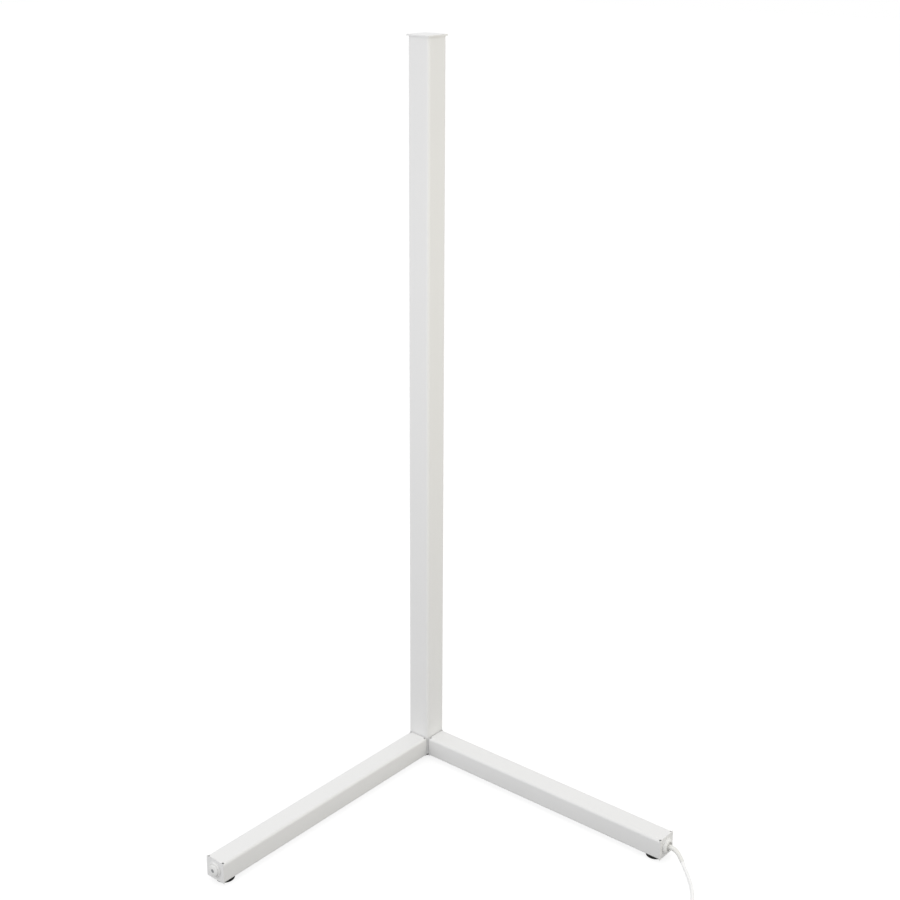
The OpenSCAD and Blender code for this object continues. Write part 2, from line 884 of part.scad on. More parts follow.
module strip_lead() {
    color("whitesmoke") swept_tube(strip_route, strip_lead_d, lead_sides);
}

module wire_connector() {
    color("gainsboro") translate([-connector_size.x / 2, -connector_size.y / 2, connector_bottom])
        cube(connector_size);
}

// ---- mains cable outside ----

module cord_free() {
    color("white") swept_tube(cord_path, cable_d, cord_sides);
}

module cord_coil() {
    color("white") swept_tube(coil_path, cable_d, coil_sides);
}

module cord_tail() {
    color("white") swept_tube(tail_path, cable_d, cord_sides);
}

// Flat band round the bundle of turns
module coil_tie() {
    w = tie_out_r - tie_in_r;
    h = tie_high_z - tie_low_z;
    round_r = 2;
    color("dimgray") translate([coil_centre.x, coil_centre.y, 0]) rotate(tie_angle)
        translate([(tie_in_r + tie_out_r) / 2, tie_w / 2, (tie_low_z + tie_high_z) / 2])
            rotate([90, 0, 0]) linear_extrude(tie_w) difference() {
                rounded_rect(w + 2 * tie_t, h + 2 * tie_t, round_r + tie_t);
                rounded_rect(w, h, round_r);
            }
}

// Puts a shape that points along +X where the cable ends in the plug
module at_plug() {
    translate(plug_at) rotate(plug_turn) children();
}

module plug_body() {
    rib_pitch = plug_neck_l / (plug_ribs + 0.5);
    color("white") at_plug() {
        difference() {
            union() {
                rotate([0, 90, 0]) cylinder(r = plug_neck_r, h = plug_neck_l + cut);
                for (i = [1 : plug_ribs]) translate([(i - 0.5) * rib_pitch, 0, 0])
                    rotate([0, 90, 0]) cylinder(r = plug_rib_r, h = rib_pitch / 2);
                translate([plug_neck_l, 0, 0]) rotate([90, 0, 90]) linear_extrude(plug_l)
                    rounded_rect(plug_w, plug_t, plug_edge_r);
                for (s = [-1, 1]) translate([plug_neck_l + plug_l - cut, s * pin_spacing / 2, 0])
                    rotate([0, 90, 0]) cylinder(d = pin_sleeve_d, h = pin_sleeve_l + cut);
            }
            for (s = [-1, 1]) translate([plug_neck_l + plug_l / 2, s * pin_spacing / 2, 0])
                rotate([0, 90, 0]) cylinder(d = pin_core_d + 2 * fit_gap, h = plug_l / 2 + pin_l);
        }
    }
}

module plug_pins() {
    face = plug_neck_l + plug_l;
    color("silver") at_plug() for (s = [-1, 1]) translate([0, s * pin_spacing / 2, 0])
        rotate([0, 90, 0]) {
            translate([0, 0, face - plug_l / 2 + fit_gap])
                cylinder(d = pin_core_d, h = plug_l / 2 + pin_sleeve_l + cut);
            translate([0, 0, face + pin_sleeve_l + fit_gap])
                cylinder(d = pin_d, h = pin_l - pin_sleeve_l);
        }
}

post_profile();
diffuser();
access_cover();
led_strip();
led_chips();
top_cap();
top_cap_screws();
post_foot_block();
foot_block_screws();
rear_foot();
right_leg_shell();
left_leg_shell();
right_base_plate();
left_base_plate();
base_plate_screws();
leg_gaskets();
leg_bolts();
leg_nuts();
right_foot();
left_foot();
cable_gland();
gland_nut();
strain_relief();
switch_housing();
switch_ring_nut();
button_cap();
button_lens();
button_spring();
led_driver();
mains_lead();
driver_lead();
switch_lead();
strip_lead();
wire_connector();
cord_free();
cord_coil();
cord_tail();
coil_tie();
plug_body();
plug_pins();
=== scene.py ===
import math

import bpy
from mathutils import Matrix, Vector


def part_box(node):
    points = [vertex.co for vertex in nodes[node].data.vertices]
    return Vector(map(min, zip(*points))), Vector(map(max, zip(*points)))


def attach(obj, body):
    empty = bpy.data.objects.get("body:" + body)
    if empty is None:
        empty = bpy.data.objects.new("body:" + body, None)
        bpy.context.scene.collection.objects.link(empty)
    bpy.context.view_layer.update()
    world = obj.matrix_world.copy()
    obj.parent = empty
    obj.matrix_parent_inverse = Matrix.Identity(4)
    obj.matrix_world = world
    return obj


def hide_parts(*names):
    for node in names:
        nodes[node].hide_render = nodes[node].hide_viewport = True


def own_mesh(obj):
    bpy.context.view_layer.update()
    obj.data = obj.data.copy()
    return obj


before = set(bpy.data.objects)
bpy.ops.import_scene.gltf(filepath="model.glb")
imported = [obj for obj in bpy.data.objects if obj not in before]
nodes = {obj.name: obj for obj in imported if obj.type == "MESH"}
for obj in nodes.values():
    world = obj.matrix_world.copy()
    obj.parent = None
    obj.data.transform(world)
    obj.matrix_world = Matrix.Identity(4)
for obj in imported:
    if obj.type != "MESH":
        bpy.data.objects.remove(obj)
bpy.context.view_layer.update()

MM = 0.001


# ---- Camera ------------------------------------------------------------------------------
# The photographer's place, found by fitting the lamp's own straight edges to the picture.
# It stands in front of the inner corner of the two legs and looks a little down.
CAMERA_AZIMUTH = math.radians(39.2333)
CAMERA_ELEVATION = math.radians(17.1387)
CAMERA_ROLL = math.radians(0.4437)
CAMERA_DISTANCE = 2.77524
AIM_SIDEWAYS = 0.05829
AIM_HEIGHT = 0.79349
PICTURE_SIZE = 900
FOCAL_LENGTH_PIXELS = 1509.385
PICTURE_CENTRE_X = 458.47
PICTURE_CENTRE_Y = 369.78
SENSOR_WIDTH = 36

towards_camera = Vector((
    math.sin(CAMERA_AZIMUTH) * math.cos(CAMERA_ELEVATION),
    -math.cos(CAMERA_AZIMUTH) * math.cos(CAMERA_ELEVATION),
    math.sin(CAMERA_ELEVATION),
))
level_right = Vector((math.cos(CAMERA_AZIMUTH), math.sin(CAMERA_AZIMUTH), 0))
plain_up = towards_camera.cross(level_right)
camera_right = level_right * math.cos(CAMERA_ROLL) + plain_up * math.sin(CAMERA_ROLL)
camera_up = plain_up * math.cos(CAMERA_ROLL) - level_right * math.sin(CAMERA_ROLL)
aim = level_right * AIM_SIDEWAYS + Vector((0, 0, AIM_HEIGHT))

camera = bpy.data.objects.new("photo_camera", bpy.data.cameras.new("photo_camera"))
bpy.context.scene.collection.objects.link(camera)
camera.data.sensor_width = SENSOR_WIDTH
camera.data.lens = FOCAL_LENGTH_PIXELS / PICTURE_SIZE * SENSOR_WIDTH
camera.data.shift_x = (PICTURE_SIZE / 2 - PICTURE_CENTRE_X) / PICTURE_SIZE
camera.data.shift_y = (PICTURE_CENTRE_Y - PICTURE_SIZE / 2) / PICTURE_SIZE
camera.matrix_world = Matrix.Translation(aim + towards_camera * CAMERA_DISTANCE) @ Matrix(
    (camera_right, camera_up, towards_camera)
).transposed().to_4x4()
bpy.context.scene.camera = camera
bpy.context.scene.view_settings.view_transform = "Standard"


# ---- Mains cable -------------------------------------------------------------------------
# One round white cable with a soft jacket, pushed through the gland of the right leg. It falls
# to the floor in one easy curve, and the length that the picture doesn't show is wound into a
# flat coil of two layers, with the plug lying beside it.
CABLE_D = 6
CORD_ROUTE = [
    (8, 0, 27.5), (10, 0, 27.5), (15, -0.1, 27.1), (21, -0.7, 25.4), (26.6, -2, 22.4),
    (31.8, -4, 18.4), (37, -6.7, 14.2), (43, -10.5, 10.4), (50, -15.6, 7.4), (58, -22.2, 5.2),
    (66, -29.8, 3.9), (74, -38.6, 3.3), (82, -48.6, 3.1), (90, -60, 3.1), (98, -72.6, 3.1),
    (106, -86, 3.1), (115, -101.6, 3.1), (124, -117, 3.2), (132.6, -131.4, 3.6),
]
TAIL_ROUTE = [
    (10.1, -49.6, 10.5), (1.4, -54.4, 9.9), (-7.4, -59, 8.8), (-16.4, -63.2, 7.7),
    (-25.6, -67, 7.1), (-33.1, -69.7, 6.9), (-40.7, -72.1, 6.9),
]
EXIT_X, EXIT_Z = CORD_ROUTE[0][0], CORD_ROUTE[0][2]
COIL_PLACE = (106, -177.6)
COIL_RADIUS = 48
COIL_PITCH = 6.6
COIL_TURNS = 7.25
COIL_START_ANGLE = 30
COIL_LOW_Z = 4
RINGS_PER_TURN = 24
CLIMB_TURNS = 0.5
STRAIGHT = 3
CABLE_FINENESS = (6, 5)

low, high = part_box("right_leg_shell")
LEG_END = high.x / MM
LEG_MIDDLE_Y = (low.y + high.y) / 2 / MM
COIL_CENTRE_X = LEG_END + COIL_PLACE[0]
COIL_CENTRE_Y = LEG_MIDDLE_Y + COIL_PLACE[1]


def coil_point(turn):
    """Middle of the cable after so many turns: in, up a layer, and out again."""
    radius = COIL_RADIUS - COIL_PITCH * min(turn, COIL_TURNS - turn)
    angle = math.radians(COIL_START_ANGLE - 360 * turn)
    climb = max(0, min(1, (turn - COIL_TURNS / 2) / CLIMB_TURNS + 0.5))
    return Vector((
        COIL_CENTRE_X + radius * math.cos(angle),
        COIL_CENTRE_Y + radius * math.sin(angle),
        COIL_LOW_Z + COIL_PITCH * climb * climb * (3 - 2 * climb),
    ))


def coil_heading(turn):
    """Level direction in which the cable runs after so many turns."""
    angle = math.radians(COIL_START_ANGLE - 360 * turn)
    return Vector((math.sin(angle), -math.cos(angle), 0))


def round_lead(name, places, diameter, fineness):
    """A lead with closed ends, as one smooth line through places given in millimetres."""
    line = bpy.data.curves.new(name, "CURVE")
    line.dimensions = "3D"
    line.bevel_resolution, line.resolution_u = fineness
    line.use_fill_caps = True
    # The thickness is in each knot's own radius, so that the line's box is no larger than the lead.
    line.bevel_depth = 1
    line.use_radius = False
    spline = line.splines.new("BEZIER")
    spline.bezier_points.add(len(places) - 1)
    for knot, place in zip(spline.bezier_points, places):
        knot.co = Vector(place) * MM
        knot.radius = diameter / 2 * MM
        knot.handle_left_type = "AUTO"
        knot.handle_right_type = "AUTO"
    lead = bpy.data.objects.new(name, line)
    bpy.context.scene.collection.objects.link(lead)
    return lead


cable_points = [Vector((LEG_END + x, LEG_MIDDLE_Y + y, z)) for x, y, z in CORD_ROUTE]
for back in (CABLE_D + STRAIGHT, CABLE_D):
    cable_points.append(coil_point(0) - back * coil_heading(0))
for ring in range(round(COIL_TURNS * RINGS_PER_TURN) + 1):
    cable_points.append(coil_point(ring / RINGS_PER_TURN))
for ahead in (CABLE_D, CABLE_D + STRAIGHT):
    cable_points.append(coil_point(COIL_TURNS) + ahead * coil_heading(COIL_TURNS))
cable_points += [Vector((COIL_CENTRE_X + x, COIL_CENTRE_Y + y, z)) for x, y, z in TAIL_ROUTE]
mains_cable = round_lead("mains_cable", cable_points, CABLE_D, CABLE_FINENESS)


def hex_colour(code):
    """Turns an sRGB hex value into the linear colour that a shader takes."""
    channels = [int(code[i:i + 2], 16) / 255 for i in (1, 3, 5)]
    return [c / 12.92 if c <= 0.04045 else ((c + 0.055) / 1.055) ** 2.4 for c in channels] + [1]


def empty_tree(owner):
    """Clears the node tree of a new material or world."""
    owner.use_nodes = True
    owner.node_tree.nodes.clear()
    return owner.node_tree


def add_node(tree, kind, settings, links=()):
    """Adds a shader node. Settings are its inputs, by name or number, or its own properties."""
    node = tree.nodes.new(kind)
    for name, value in settings.items():
        if isinstance(name, int) or name in node.inputs.keys():
            node.inputs[name].default_value = value
        else:
            setattr(node, name, value)
    for target, source in links:
        tree.links.new(source, node.inputs[target])
    return node


def grained_material(name, colours, patch_mm, grain_mm, grain_depth_mm, roughness, finish=None):
    """Colour and gloss that drift between two values over patch_mm, on a bumpy grain."""
    material = bpy.data.materials.new(name)
    tree = empty_tree(material)
    place = add_node(tree, "ShaderNodeTexCoord", {}).outputs["Object"]
    patches = add_node(tree, "ShaderNodeTexNoise", {"Scale": 1 / (patch_mm * MM), "Detail": 3},
                       [("Vector", place)]).outputs["Fac"]
    first, second = (hex_colour(colour) for colour in colours)
    tint = add_node(tree, "ShaderNodeMix", {"data_type": "RGBA", 6: first, 7: second},
                    [(0, patches)])
    gloss = add_node(tree, "ShaderNodeMapRange", {"To Min": roughness[0], "To Max": roughness[1]},
                     [("Value", patches)])
    grain = add_node(tree, "ShaderNodeTexNoise", {"Scale": 1 / (grain_mm * MM), "Detail": 2},
                     [("Vector", place)])
    relief = add_node(tree, "ShaderNodeBump", {"Distance": grain_depth_mm * MM},
                      [("Height", grain.outputs["Fac"])])
    shader = add_node(tree, "ShaderNodeBsdfPrincipled", finish or {},
                      [("Base Color", tint.outputs[2]), ("Roughness", gloss.outputs["Result"]),
                       ("Normal", relief.outputs["Normal"])])
    add_node(tree, "ShaderNodeOutputMaterial", {}, [("Surface", shader.outputs["BSDF"])])
    return material


def fit(piece, material, slot, *stands_for, body="lamp"):
    """Gives a finished piece its material and body, and hides the CAD nodes that it stands for. The
    slot is not used.
    """
    piece.data.materials.clear()
    piece.data.materials.append(material)
    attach(piece, body)
    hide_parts(*stands_for)


# Flexible cable jacket, extruded: smooth and pure white, with a soft broad sheen.
cable_jacket = grained_material(
    "white_cable_jacket", ("#FBFBFB", "#F8F8F8"), 40, 1.2, 0.02, (0.38, 0.46)
)
fit(mains_cable, cable_jacket, "white_cable_jacket", "cord_free", "cord_coil", "cord_tail")


# ---- Strap round the coil ----------------------------------------------------------------
# A short grey hook-and-loop strap that holds the coil together. It goes once round all the
# turns, and its end is pressed down on itself on top.
STRAP_WIDTH = 8
STRAP_THICKNESS = 0.8
STRAP_ANGLE = 150
STRAP_CORNER = 1.8
STRAP_LINE = [
    (31, 14.3), (48.4, 14.3), (48.4, 0.5), (20.2, 0.5), (20.2, 14.3), (24.4, 14.4), (29, 15.2),
    (43, 15.2),
]


def only(piece):
    """Makes one piece the active object and the only selected one."""
    bpy.ops.object.select_all(action="DESELECT")
    piece.select_set(True)
    bpy.context.view_layer.objects.active = piece


def drawn_line(name, points):
    """Starts a piece as a single vertex, and extrudes it through points given in millimetres."""
    bpy.ops.object.select_all(action="DESELECT")
    bpy.ops.mesh.primitive_plane_add(size=MM)
    piece = bpy.context.object
    piece.name = name
    bpy.ops.object.mode_set(mode="EDIT")
    bpy.ops.mesh.select_mode(type="VERT")
    bpy.ops.mesh.select_all(action="SELECT")
    bpy.ops.mesh.merge(type="CENTER")
    bpy.ops.transform.translate(value=Vector(points[0]) * MM)
    for start, end in zip(points, points[1:]):
        step = (Vector(end) - Vector(start)) * MM
        bpy.ops.mesh.extrude_region_move(TRANSFORM_OT_translate={"value": step})
    bpy.ops.mesh.select_all(action="SELECT")
    return piece


def pick(piece, kind, test):
    """Opens a piece for editing with only those faces or edges selected that pass a test."""
    only(piece)
    bpy.ops.object.mode_set(mode="EDIT")
    bpy.ops.mesh.select_mode(type=kind)
    bpy.ops.mesh.select_all(action="DESELECT")
    bpy.ops.object.mode_set(mode="OBJECT")
    if kind == "FACE":
        for face in piece.data.polygons:
            face.select = test(face.center / MM, face.normal)
    else:
        for edge in piece.data.edges:
            start, end = (piece.data.vertices[i].co / MM for i in edge.vertices)
            edge.select = test((start + end) / 2, end - start)
    bpy.ops.object.mode_set(mode="EDIT")


def round_edges(piece, width_mm, segments, test):
    """Rounds only those edges of a piece that pass a test."""
    pick(piece, "EDGE", test)
    bpy.ops.mesh.bevel(offset=width_mm * MM, segments=segments)
    bpy.ops.object.mode_set(mode="OBJECT")


def close_mesh():
    """Merges the doubles of the piece being edited, turns its faces outwards, and ends editing."""
    bpy.ops.mesh.select_all(action="SELECT")
    bpy.ops.mesh.remove_doubles(threshold=MM / 1000)
    bpy.ops.mesh.normals_make_consistent(inside=False)
    bpy.ops.object.mode_set(mode="OBJECT")


def apply(piece, kind, **settings):
    """Adds a modifier to a piece and applies it."""
    only(piece)
    modifier = piece.modifiers.new("step", kind)
    for name, value in settings.items():
        setattr(modifier, name, value)
    bpy.ops.object.modifier_apply(modifier=modifier.name)


def soften(piece, width_mm, segments=3):
    """Rounds a piece's sharp edges a little, as its making leaves them, and smooths its surface."""
    apply(piece, "BEVEL", width=width_mm * MM, segments=segments, limit_method="ANGLE",
          angle_limit=math.radians(30), use_clamp_overlap=False)
    bpy.ops.object.shade_smooth_by_angle(angle=math.radians(40))
    apply(piece, "WEIGHTED_NORMAL", keep_sharp=True)


def put(piece, where):
    """Takes a piece to its place and leaves the object itself at the origin, unturned."""
    only(piece)
    piece.matrix_world = where
    bpy.ops.object.transform_apply(location=True, rotation=True, scale=True)


def moved(x, y, z):
    """A move by millimetres."""
    return Matrix.Translation(Vector((x, y, z)) * MM)


def turn(degrees, axis):
    """A turn about an axis of the frame."""
    return Matrix.Rotation(math.radians(degrees), 4, axis)


coil_strap = drawn_line("coil_strap", [(x, -STRAP_WIDTH / 2, z) for x, z in STRAP_LINE])
bpy.ops.mesh.extrude_region_move(TRANSFORM_OT_translate={"value": (0, STRAP_WIDTH * MM, 0)})
bpy.ops.object.mode_set(mode="OBJECT")
strap_ends = (Vector(STRAP_LINE[0]), Vector(STRAP_LINE[-1]))
round_edges(coil_strap, STRAP_CORNER, 5, lambda middle, run: abs(run.y) > STRAP_WIDTH / 2
            and all((Vector((middle.x, middle.z)) - end).length > 1 for end in strap_ends))
apply(coil_strap, "SOLIDIFY", thickness=STRAP_THICKNESS * MM, offset=0)
soften(coil_strap, 0.2, 2)
put(coil_strap, moved(COIL_CENTRE_X, COIL_CENTRE_Y, 0) @ turn(STRAP_ANGLE, "Z"))

# Woven polyamide: dark grey and quite matt, with a nap of loops drawn a little coarse to show.
strap_weave = grained_material(
    "grey_hook_and_loop", ("#55565A", "#3F4044"), 1.4, 0.7, 0.35, (0.85, 0.95),
    {"Sheen Weight": 0.25},
)
fit(coil_strap, strap_weave, "grey_tie", "coil_tie")


# ---- Mains plug --------------------------------------------------------------------------
# A flat two-pin plug moulded onto the cable in one shot of white vinyl, with a ribbed neck, a
# sunk grip on both sides, and two nickel-plated brass pins with insulated roots.
PLUG_NECK_LENGTH = 22
PLUG_NECK_RADII = (4.2, 5.2)
PLUG_RIB_RADII = (5.2, 6)
PLUG_RIBS = 5
PLUG_LENGTH = 33
PLUG_WIDTH = 35.3
PLUG_THICKNESS = 13.6
PLUG_SHOULDER = 9
PLUG_ROUNDING = 4
PLUG_GRIP = (17, 18)
PLUG_GRIP_SHIFT = 1
PLUG_GRIP_DEPTH = 0.6
GRIP_BARS = 4
GRIP_BAR_SIZE = (1.4, 14)
PIN_SPACING = 18.6
PIN_LENGTH = 19
PIN_ROOT_LENGTH = 10
PIN_ROOT_RADIUS = 1.95
PIN_RADIUS = 2
PIN_COLLAR = (0.8, 0.6)
PIN_TAPER = (1, 1.4)


def spun(name, profile, sides=48):
    """Spins a half section, given as radius and height, about the upright axis into a solid."""
    piece = drawn_line(name, [(radius, 0, height) for radius, height in profile])
    bpy.ops.mesh.spin(steps=sides, angle=math.tau, center=(0, 0, 0), axis=(0, 0, 1))
    close_mesh()
    return piece


def block(name, size, middle):
    """A cube brought to a size and place in millimetres, as the start of a piece."""
    bpy.ops.object.select_all(action="DESELECT")
    bpy.ops.mesh.primitive_cube_add(size=MM)
    piece = bpy.context.object
    piece.name = name
    put(piece, moved(*middle) @ Matrix.Diagonal((*size, 1)))
    return piece


def cut(piece, tool):
    """Takes a tool's shape out of a piece, and removes the tool."""
    apply(piece, "BOOLEAN", object=tool, operation="DIFFERENCE", solver="EXACT")
    bpy.data.objects.remove(tool)


def duplicate(name, pattern, where=Matrix.Identity(4)):
    """Puts a copy of a pattern, with its own mesh, at a place."""
    piece = bpy.data.objects.new(name, pattern.data.copy())
    bpy.context.scene.collection.objects.link(piece)
    put(piece, where)
    return piece


def copies(name, pattern, places):
    """Puts a pattern piece at each place, as one joined piece."""
    made = [duplicate(name, pattern, where) for where in places]
    bpy.data.objects.remove(pattern)
    return joined(name, made)


def joined(name, pieces):
    """Joins pieces into the first of them."""
    bpy.ops.object.select_all(action="DESELECT")
    for piece in pieces:
        piece.select_set(True)
    bpy.context.view_layer.objects.active = pieces[0]
    if len(pieces) > 1:
        bpy.ops.object.join()
    pieces[0].name = name
    return pieces[0]


plug_shell = block("plug_shell", (PLUG_LENGTH, PLUG_WIDTH, PLUG_THICKNESS),
                   (PLUG_NECK_LENGTH + PLUG_LENGTH / 2, 0, 0))
plug_face = PLUG_NECK_LENGTH + PLUG_LENGTH
round_edges(plug_shell, PLUG_SHOULDER, 6, lambda middle, run: middle.x < PLUG_NECK_LENGTH + 1
            and abs(run.z) > 1)
round_edges(plug_shell, PLUG_ROUNDING, 5, lambda middle, run: middle.x < plug_face - 1
            and abs(middle.z) > PLUG_THICKNESS / 2 - 0.1)
grip_middle = PLUG_NECK_LENGTH + PLUG_LENGTH / 2 + PLUG_GRIP_SHIFT
for side in (-1, 1):
    grip = block("grip_tool", (*PLUG_GRIP, 2 * PLUG_GRIP_DEPTH),
                 (grip_middle, 0, side * PLUG_THICKNESS / 2))
    round_edges(grip, PLUG_ROUNDING, 5, lambda middle, run: abs(run.z) > PLUG_GRIP_DEPTH)
    cut(plug_shell, grip)
soften(plug_shell, 0.5)

grip_bar = block("grip_bar", (*GRIP_BAR_SIZE, 2 * PLUG_GRIP_DEPTH), (0, 0, 0))
soften(grip_bar, 0.4)
bar_step = PLUG_GRIP[0] / (GRIP_BARS + 1)
bar_height = PLUG_THICKNESS / 2 - PLUG_GRIP_DEPTH
grip_bars = copies("grip_bars", grip_bar, [
    moved(grip_middle - PLUG_GRIP[0] / 2 + bar_step * (i + 1), 0, side * bar_height)
    for i in range(GRIP_BARS) for side in (-1, 1)
])

neck_profile = [(0, 0)]
rib_step = PLUG_NECK_LENGTH / (PLUG_RIBS + 0.5)
for i in range(PLUG_RIBS + 1):
    core, rib = (first + i / PLUG_RIBS * (last - first)
                 for first, last in (PLUG_NECK_RADII, PLUG_RIB_RADII))
    start = i * rib_step
    neck_profile += [(core, start), (core, start + rib_step / 2)]
    if i < PLUG_RIBS:
        neck_profile += [(rib, start + rib_step / 2), (rib, start + rib_step)]
neck_profile += [(PLUG_NECK_RADII[1], PLUG_NECK_LENGTH + 3), (0, PLUG_NECK_LENGTH + 3)]
plug_neck = spun("plug_neck", neck_profile, 32)
soften(plug_neck, 0.35)
put(plug_neck, turn(90, "Y"))

collar_radius, collar_end = PIN_ROOT_RADIUS + PIN_COLLAR[0], plug_face + PIN_COLLAR[1]
root_end, pin_end = plug_face + PIN_ROOT_LENGTH, plug_face + PIN_LENGTH
pin_root = spun("pin_root", [
    (0, plug_face - 2), (collar_radius, plug_face - 2), (collar_radius, collar_end),
    (PIN_ROOT_RADIUS, collar_end), (PIN_ROOT_RADIUS, root_end), (0, root_end),
], 24)
soften(pin_root, 0.2)
pin_places = [moved(0, side * PIN_SPACING / 2, 0) @ turn(90, "Y") for side in (-1, 1)]
pin_roots = copies("pin_roots", pin_root, pin_places)
plug_line = cable_points[-1] - cable_points[-2]
at_plug = moved(*cable_points[-1]) @ turn(math.degrees(math.atan2(plug_line.y, plug_line.x)), "Z")
mains_plug = joined("mains_plug", [plug_shell, grip_bars, plug_neck, pin_roots])
put(mains_plug, at_plug)

# Soft vinyl, moulded: even white with a fine spark-eroded grain, so it shines only faintly.
moulded_vinyl = grained_material(
    "white_moulded_vinyl", ("#F3F3F1", "#EFEFEC"), 30, 0.5, 0.02, (0.42, 0.52)
)
fit(mains_plug, moulded_vinyl, "white_plug", "plug_body")

plug_pin = spun("plug_pin", [
    (0, root_end), (PIN_RADIUS, root_end), (PIN_RADIUS, pin_end - PIN_TAPER[1]),
    (PIN_RADIUS - PIN_TAPER[0], pin_end), (0, pin_end),
], 24)
soften(plug_pin, 0.4)
plug_pins = copies("contact_pins", plug_pin, pin_places)
put(plug_pins, at_plug)

# Nickel on brass: a warm bright grey metal, with a fine grain that softens its reflections.
nickel_plate = grained_material(
    "nickel_plated_brass", ("#D9D4C8", "#CDC8BD"), 12, 0.6, 0.004, (0.18, 0.3), {"Metallic": 1}
)
fit(plug_pins, nickel_plate, "plated_pins", "plug_pins")


# ---- Studio ------------------------------------------------------------------------------
# A pale floor that runs to a white horizon, an even white tent of light, a soft lamp square to
# each front face of the post, and one overhead. The right lamp is a little warm, as in the
# picture. The camera sees the floor as white paper with a faint shadow.
FLOOR_SIZE = 40
TENT_STRENGTH = 0.81
LAMP_SIZE = 1.2
SIDE_LAMP_HEIGHT = 1.05
SIDE_LAMP_DISTANCE = 2
SIDE_LAMP_OFFSET = 0.3
LEFT_LAMP_POWER = 4.4
LEFT_LAMP_SPREAD = 105
RIGHT_LAMP_POWER = 3.7
RIGHT_LAMP_SPREAD = 98
RIGHT_LAMP_COLOUR = (1, 0.94, 0.75)
TOP_LAMP_POWER = 7
TOP_LAMP_HEIGHT = 3
TOP_LAMP_OFFSET = 0.5
FLOOR_COLOUR = "#A6A6A6"
PAPER_COLOUR = "#8A8A8A"
PAPER_GLOW = 0.82

bpy.ops.object.select_all(action="DESELECT")
bpy.ops.mesh.primitive_plane_add(size=FLOOR_SIZE)
floor = bpy.context.object
floor.name = "studio_floor"


def seen_by_camera(tree):
    """Gives 1 where the camera looks, also by way of gloss or glass, and 0 for all other light."""
    ray = add_node(tree, "ShaderNodeLightPath", {}).outputs
    seen = add_node(tree, "ShaderNodeMath", {"operation": "ADD"},
                    [(0, ray["Is Camera Ray"]), (1, ray["Is Glossy Ray"])])
    seen = add_node(tree, "ShaderNodeMath", {"operation": "ADD", "use_clamp": True},
                    [(0, seen.outputs[0]), (1, ray["Is Transmission Ray"])])
    return seen.outputs[0]


# Matt paper: a mid grey for the light that it throws back, and near white where it is seen.
paper = bpy.data.materials.new("pale_paper")
tree = empty_tree(paper)
plain = add_node(tree, "ShaderNodeBsdfDiffuse", {"Color": hex_colour(FLOOR_COLOUR)})
shaded = add_node(tree, "ShaderNodeBsdfDiffuse", {"Color": hex_colour(PAPER_COLOUR)})
glow = add_node(tree, "ShaderNodeEmission", {"Strength": PAPER_GLOW})
bright = add_node(tree, "ShaderNodeAddShader", {}, [(0, shaded.outputs[0]), (1, glow.outputs[0])])
both = add_node(tree, "ShaderNodeMixShader", {},
                [(0, seen_by_camera(tree)), (1, plain.outputs[0]), (2, bright.outputs[0])])
add_node(tree, "ShaderNodeOutputMaterial", {}, [("Surface", both.outputs[0])])
floor.data.materials.append(paper)

world = bpy.data.worlds.new("white_tent")
bpy.context.scene.world = world
tree = empty_tree(world)
strength = add_node(tree, "ShaderNodeMapRange", {"To Min": TENT_STRENGTH, "To Max": 1.0},
                    [("Value", seen_by_camera(tree))])
sky = add_node(tree, "ShaderNodeBackground", {"Color": (1, 1, 1, 1)},
               [("Strength", strength.outputs["Result"])])
add_node(tree, "ShaderNodeOutputWorld", {}, [("Surface", sky.outputs[0])])

post_middle = (0, 0, SIDE_LAMP_HEIGHT)
left_place = (-SIDE_LAMP_OFFSET, -SIDE_LAMP_DISTANCE, SIDE_LAMP_HEIGHT)
right_place = (SIDE_LAMP_DISTANCE, SIDE_LAMP_OFFSET, SIDE_LAMP_HEIGHT)
legs_middle = (TOP_LAMP_OFFSET, -TOP_LAMP_OFFSET, 0)
top_place = (TOP_LAMP_OFFSET, -TOP_LAMP_OFFSET, TOP_LAMP_HEIGHT)
for name, place, aim_at, power, spread, colour in (
    ("left_lamp", left_place, post_middle, LEFT_LAMP_POWER, LEFT_LAMP_SPREAD, (1, 1, 1)),
    ("right_lamp", right_place, post_middle, RIGHT_LAMP_POWER, RIGHT_LAMP_SPREAD,
     RIGHT_LAMP_COLOUR),
    ("top_lamp", top_place, legs_middle, TOP_LAMP_POWER, 180, (1, 1, 1)),
):
    lamp = bpy.data.objects.new(name, bpy.data.lights.new(name, "AREA"))
    bpy.context.scene.collection.objects.link(lamp)
    lamp.data.size = LAMP_SIZE
    lamp.data.energy = power
    lamp.data.spread = math.radians(spread)
    lamp.data.color = colour
    lamp.location = place
    lamp.rotation_euler = (Vector(aim_at) - lamp.location).to_track_quat("-Z", "Y").to_euler()


# ---- Post --------------------------------------------------------------------------------
# An extruded aluminium profile, open along the edge that faces the room's corner, with screw
# ports in its corners and a slanting web for the light strip. Cut, drilled and powder coated.
def coat(node, material):
    """Gives a CAD solid that stays in sight its material."""
    nodes[node].data.materials.clear()
    nodes[node].data.materials.append(material)


# White powder coat on metal: baked on, so it has a satin gloss and the faint orange peel of
# powder that flowed together. The waves are drawn a little coarser than real, so that they show.
powder_coat = grained_material(
    "white_powder_coat", ("#ECECEC", "#E9E9E9"), 150, 1.6, 0.03, (0.40, 0.50)
)
coat("post_profile", powder_coat)


# ---- Light strip -------------------------------------------------------------------------
# A flexible circuit board stuck to the web, with a small light source every 16 mm. Each one is a
# white package with a window of yellow phosphor, soldered on.
CHIP_SIZE = (2.8, 0.8, 3.5)
CHIP_PITCH = 16
CHIP_RIM = 0.35
CHIP_WINDOW_DEPTH = 0.12
BOARD_FACE = -17.1
WEB_ANGLE = 45
TRACK_PITCH = 2.5
TRACK_RELIEF = 0.05


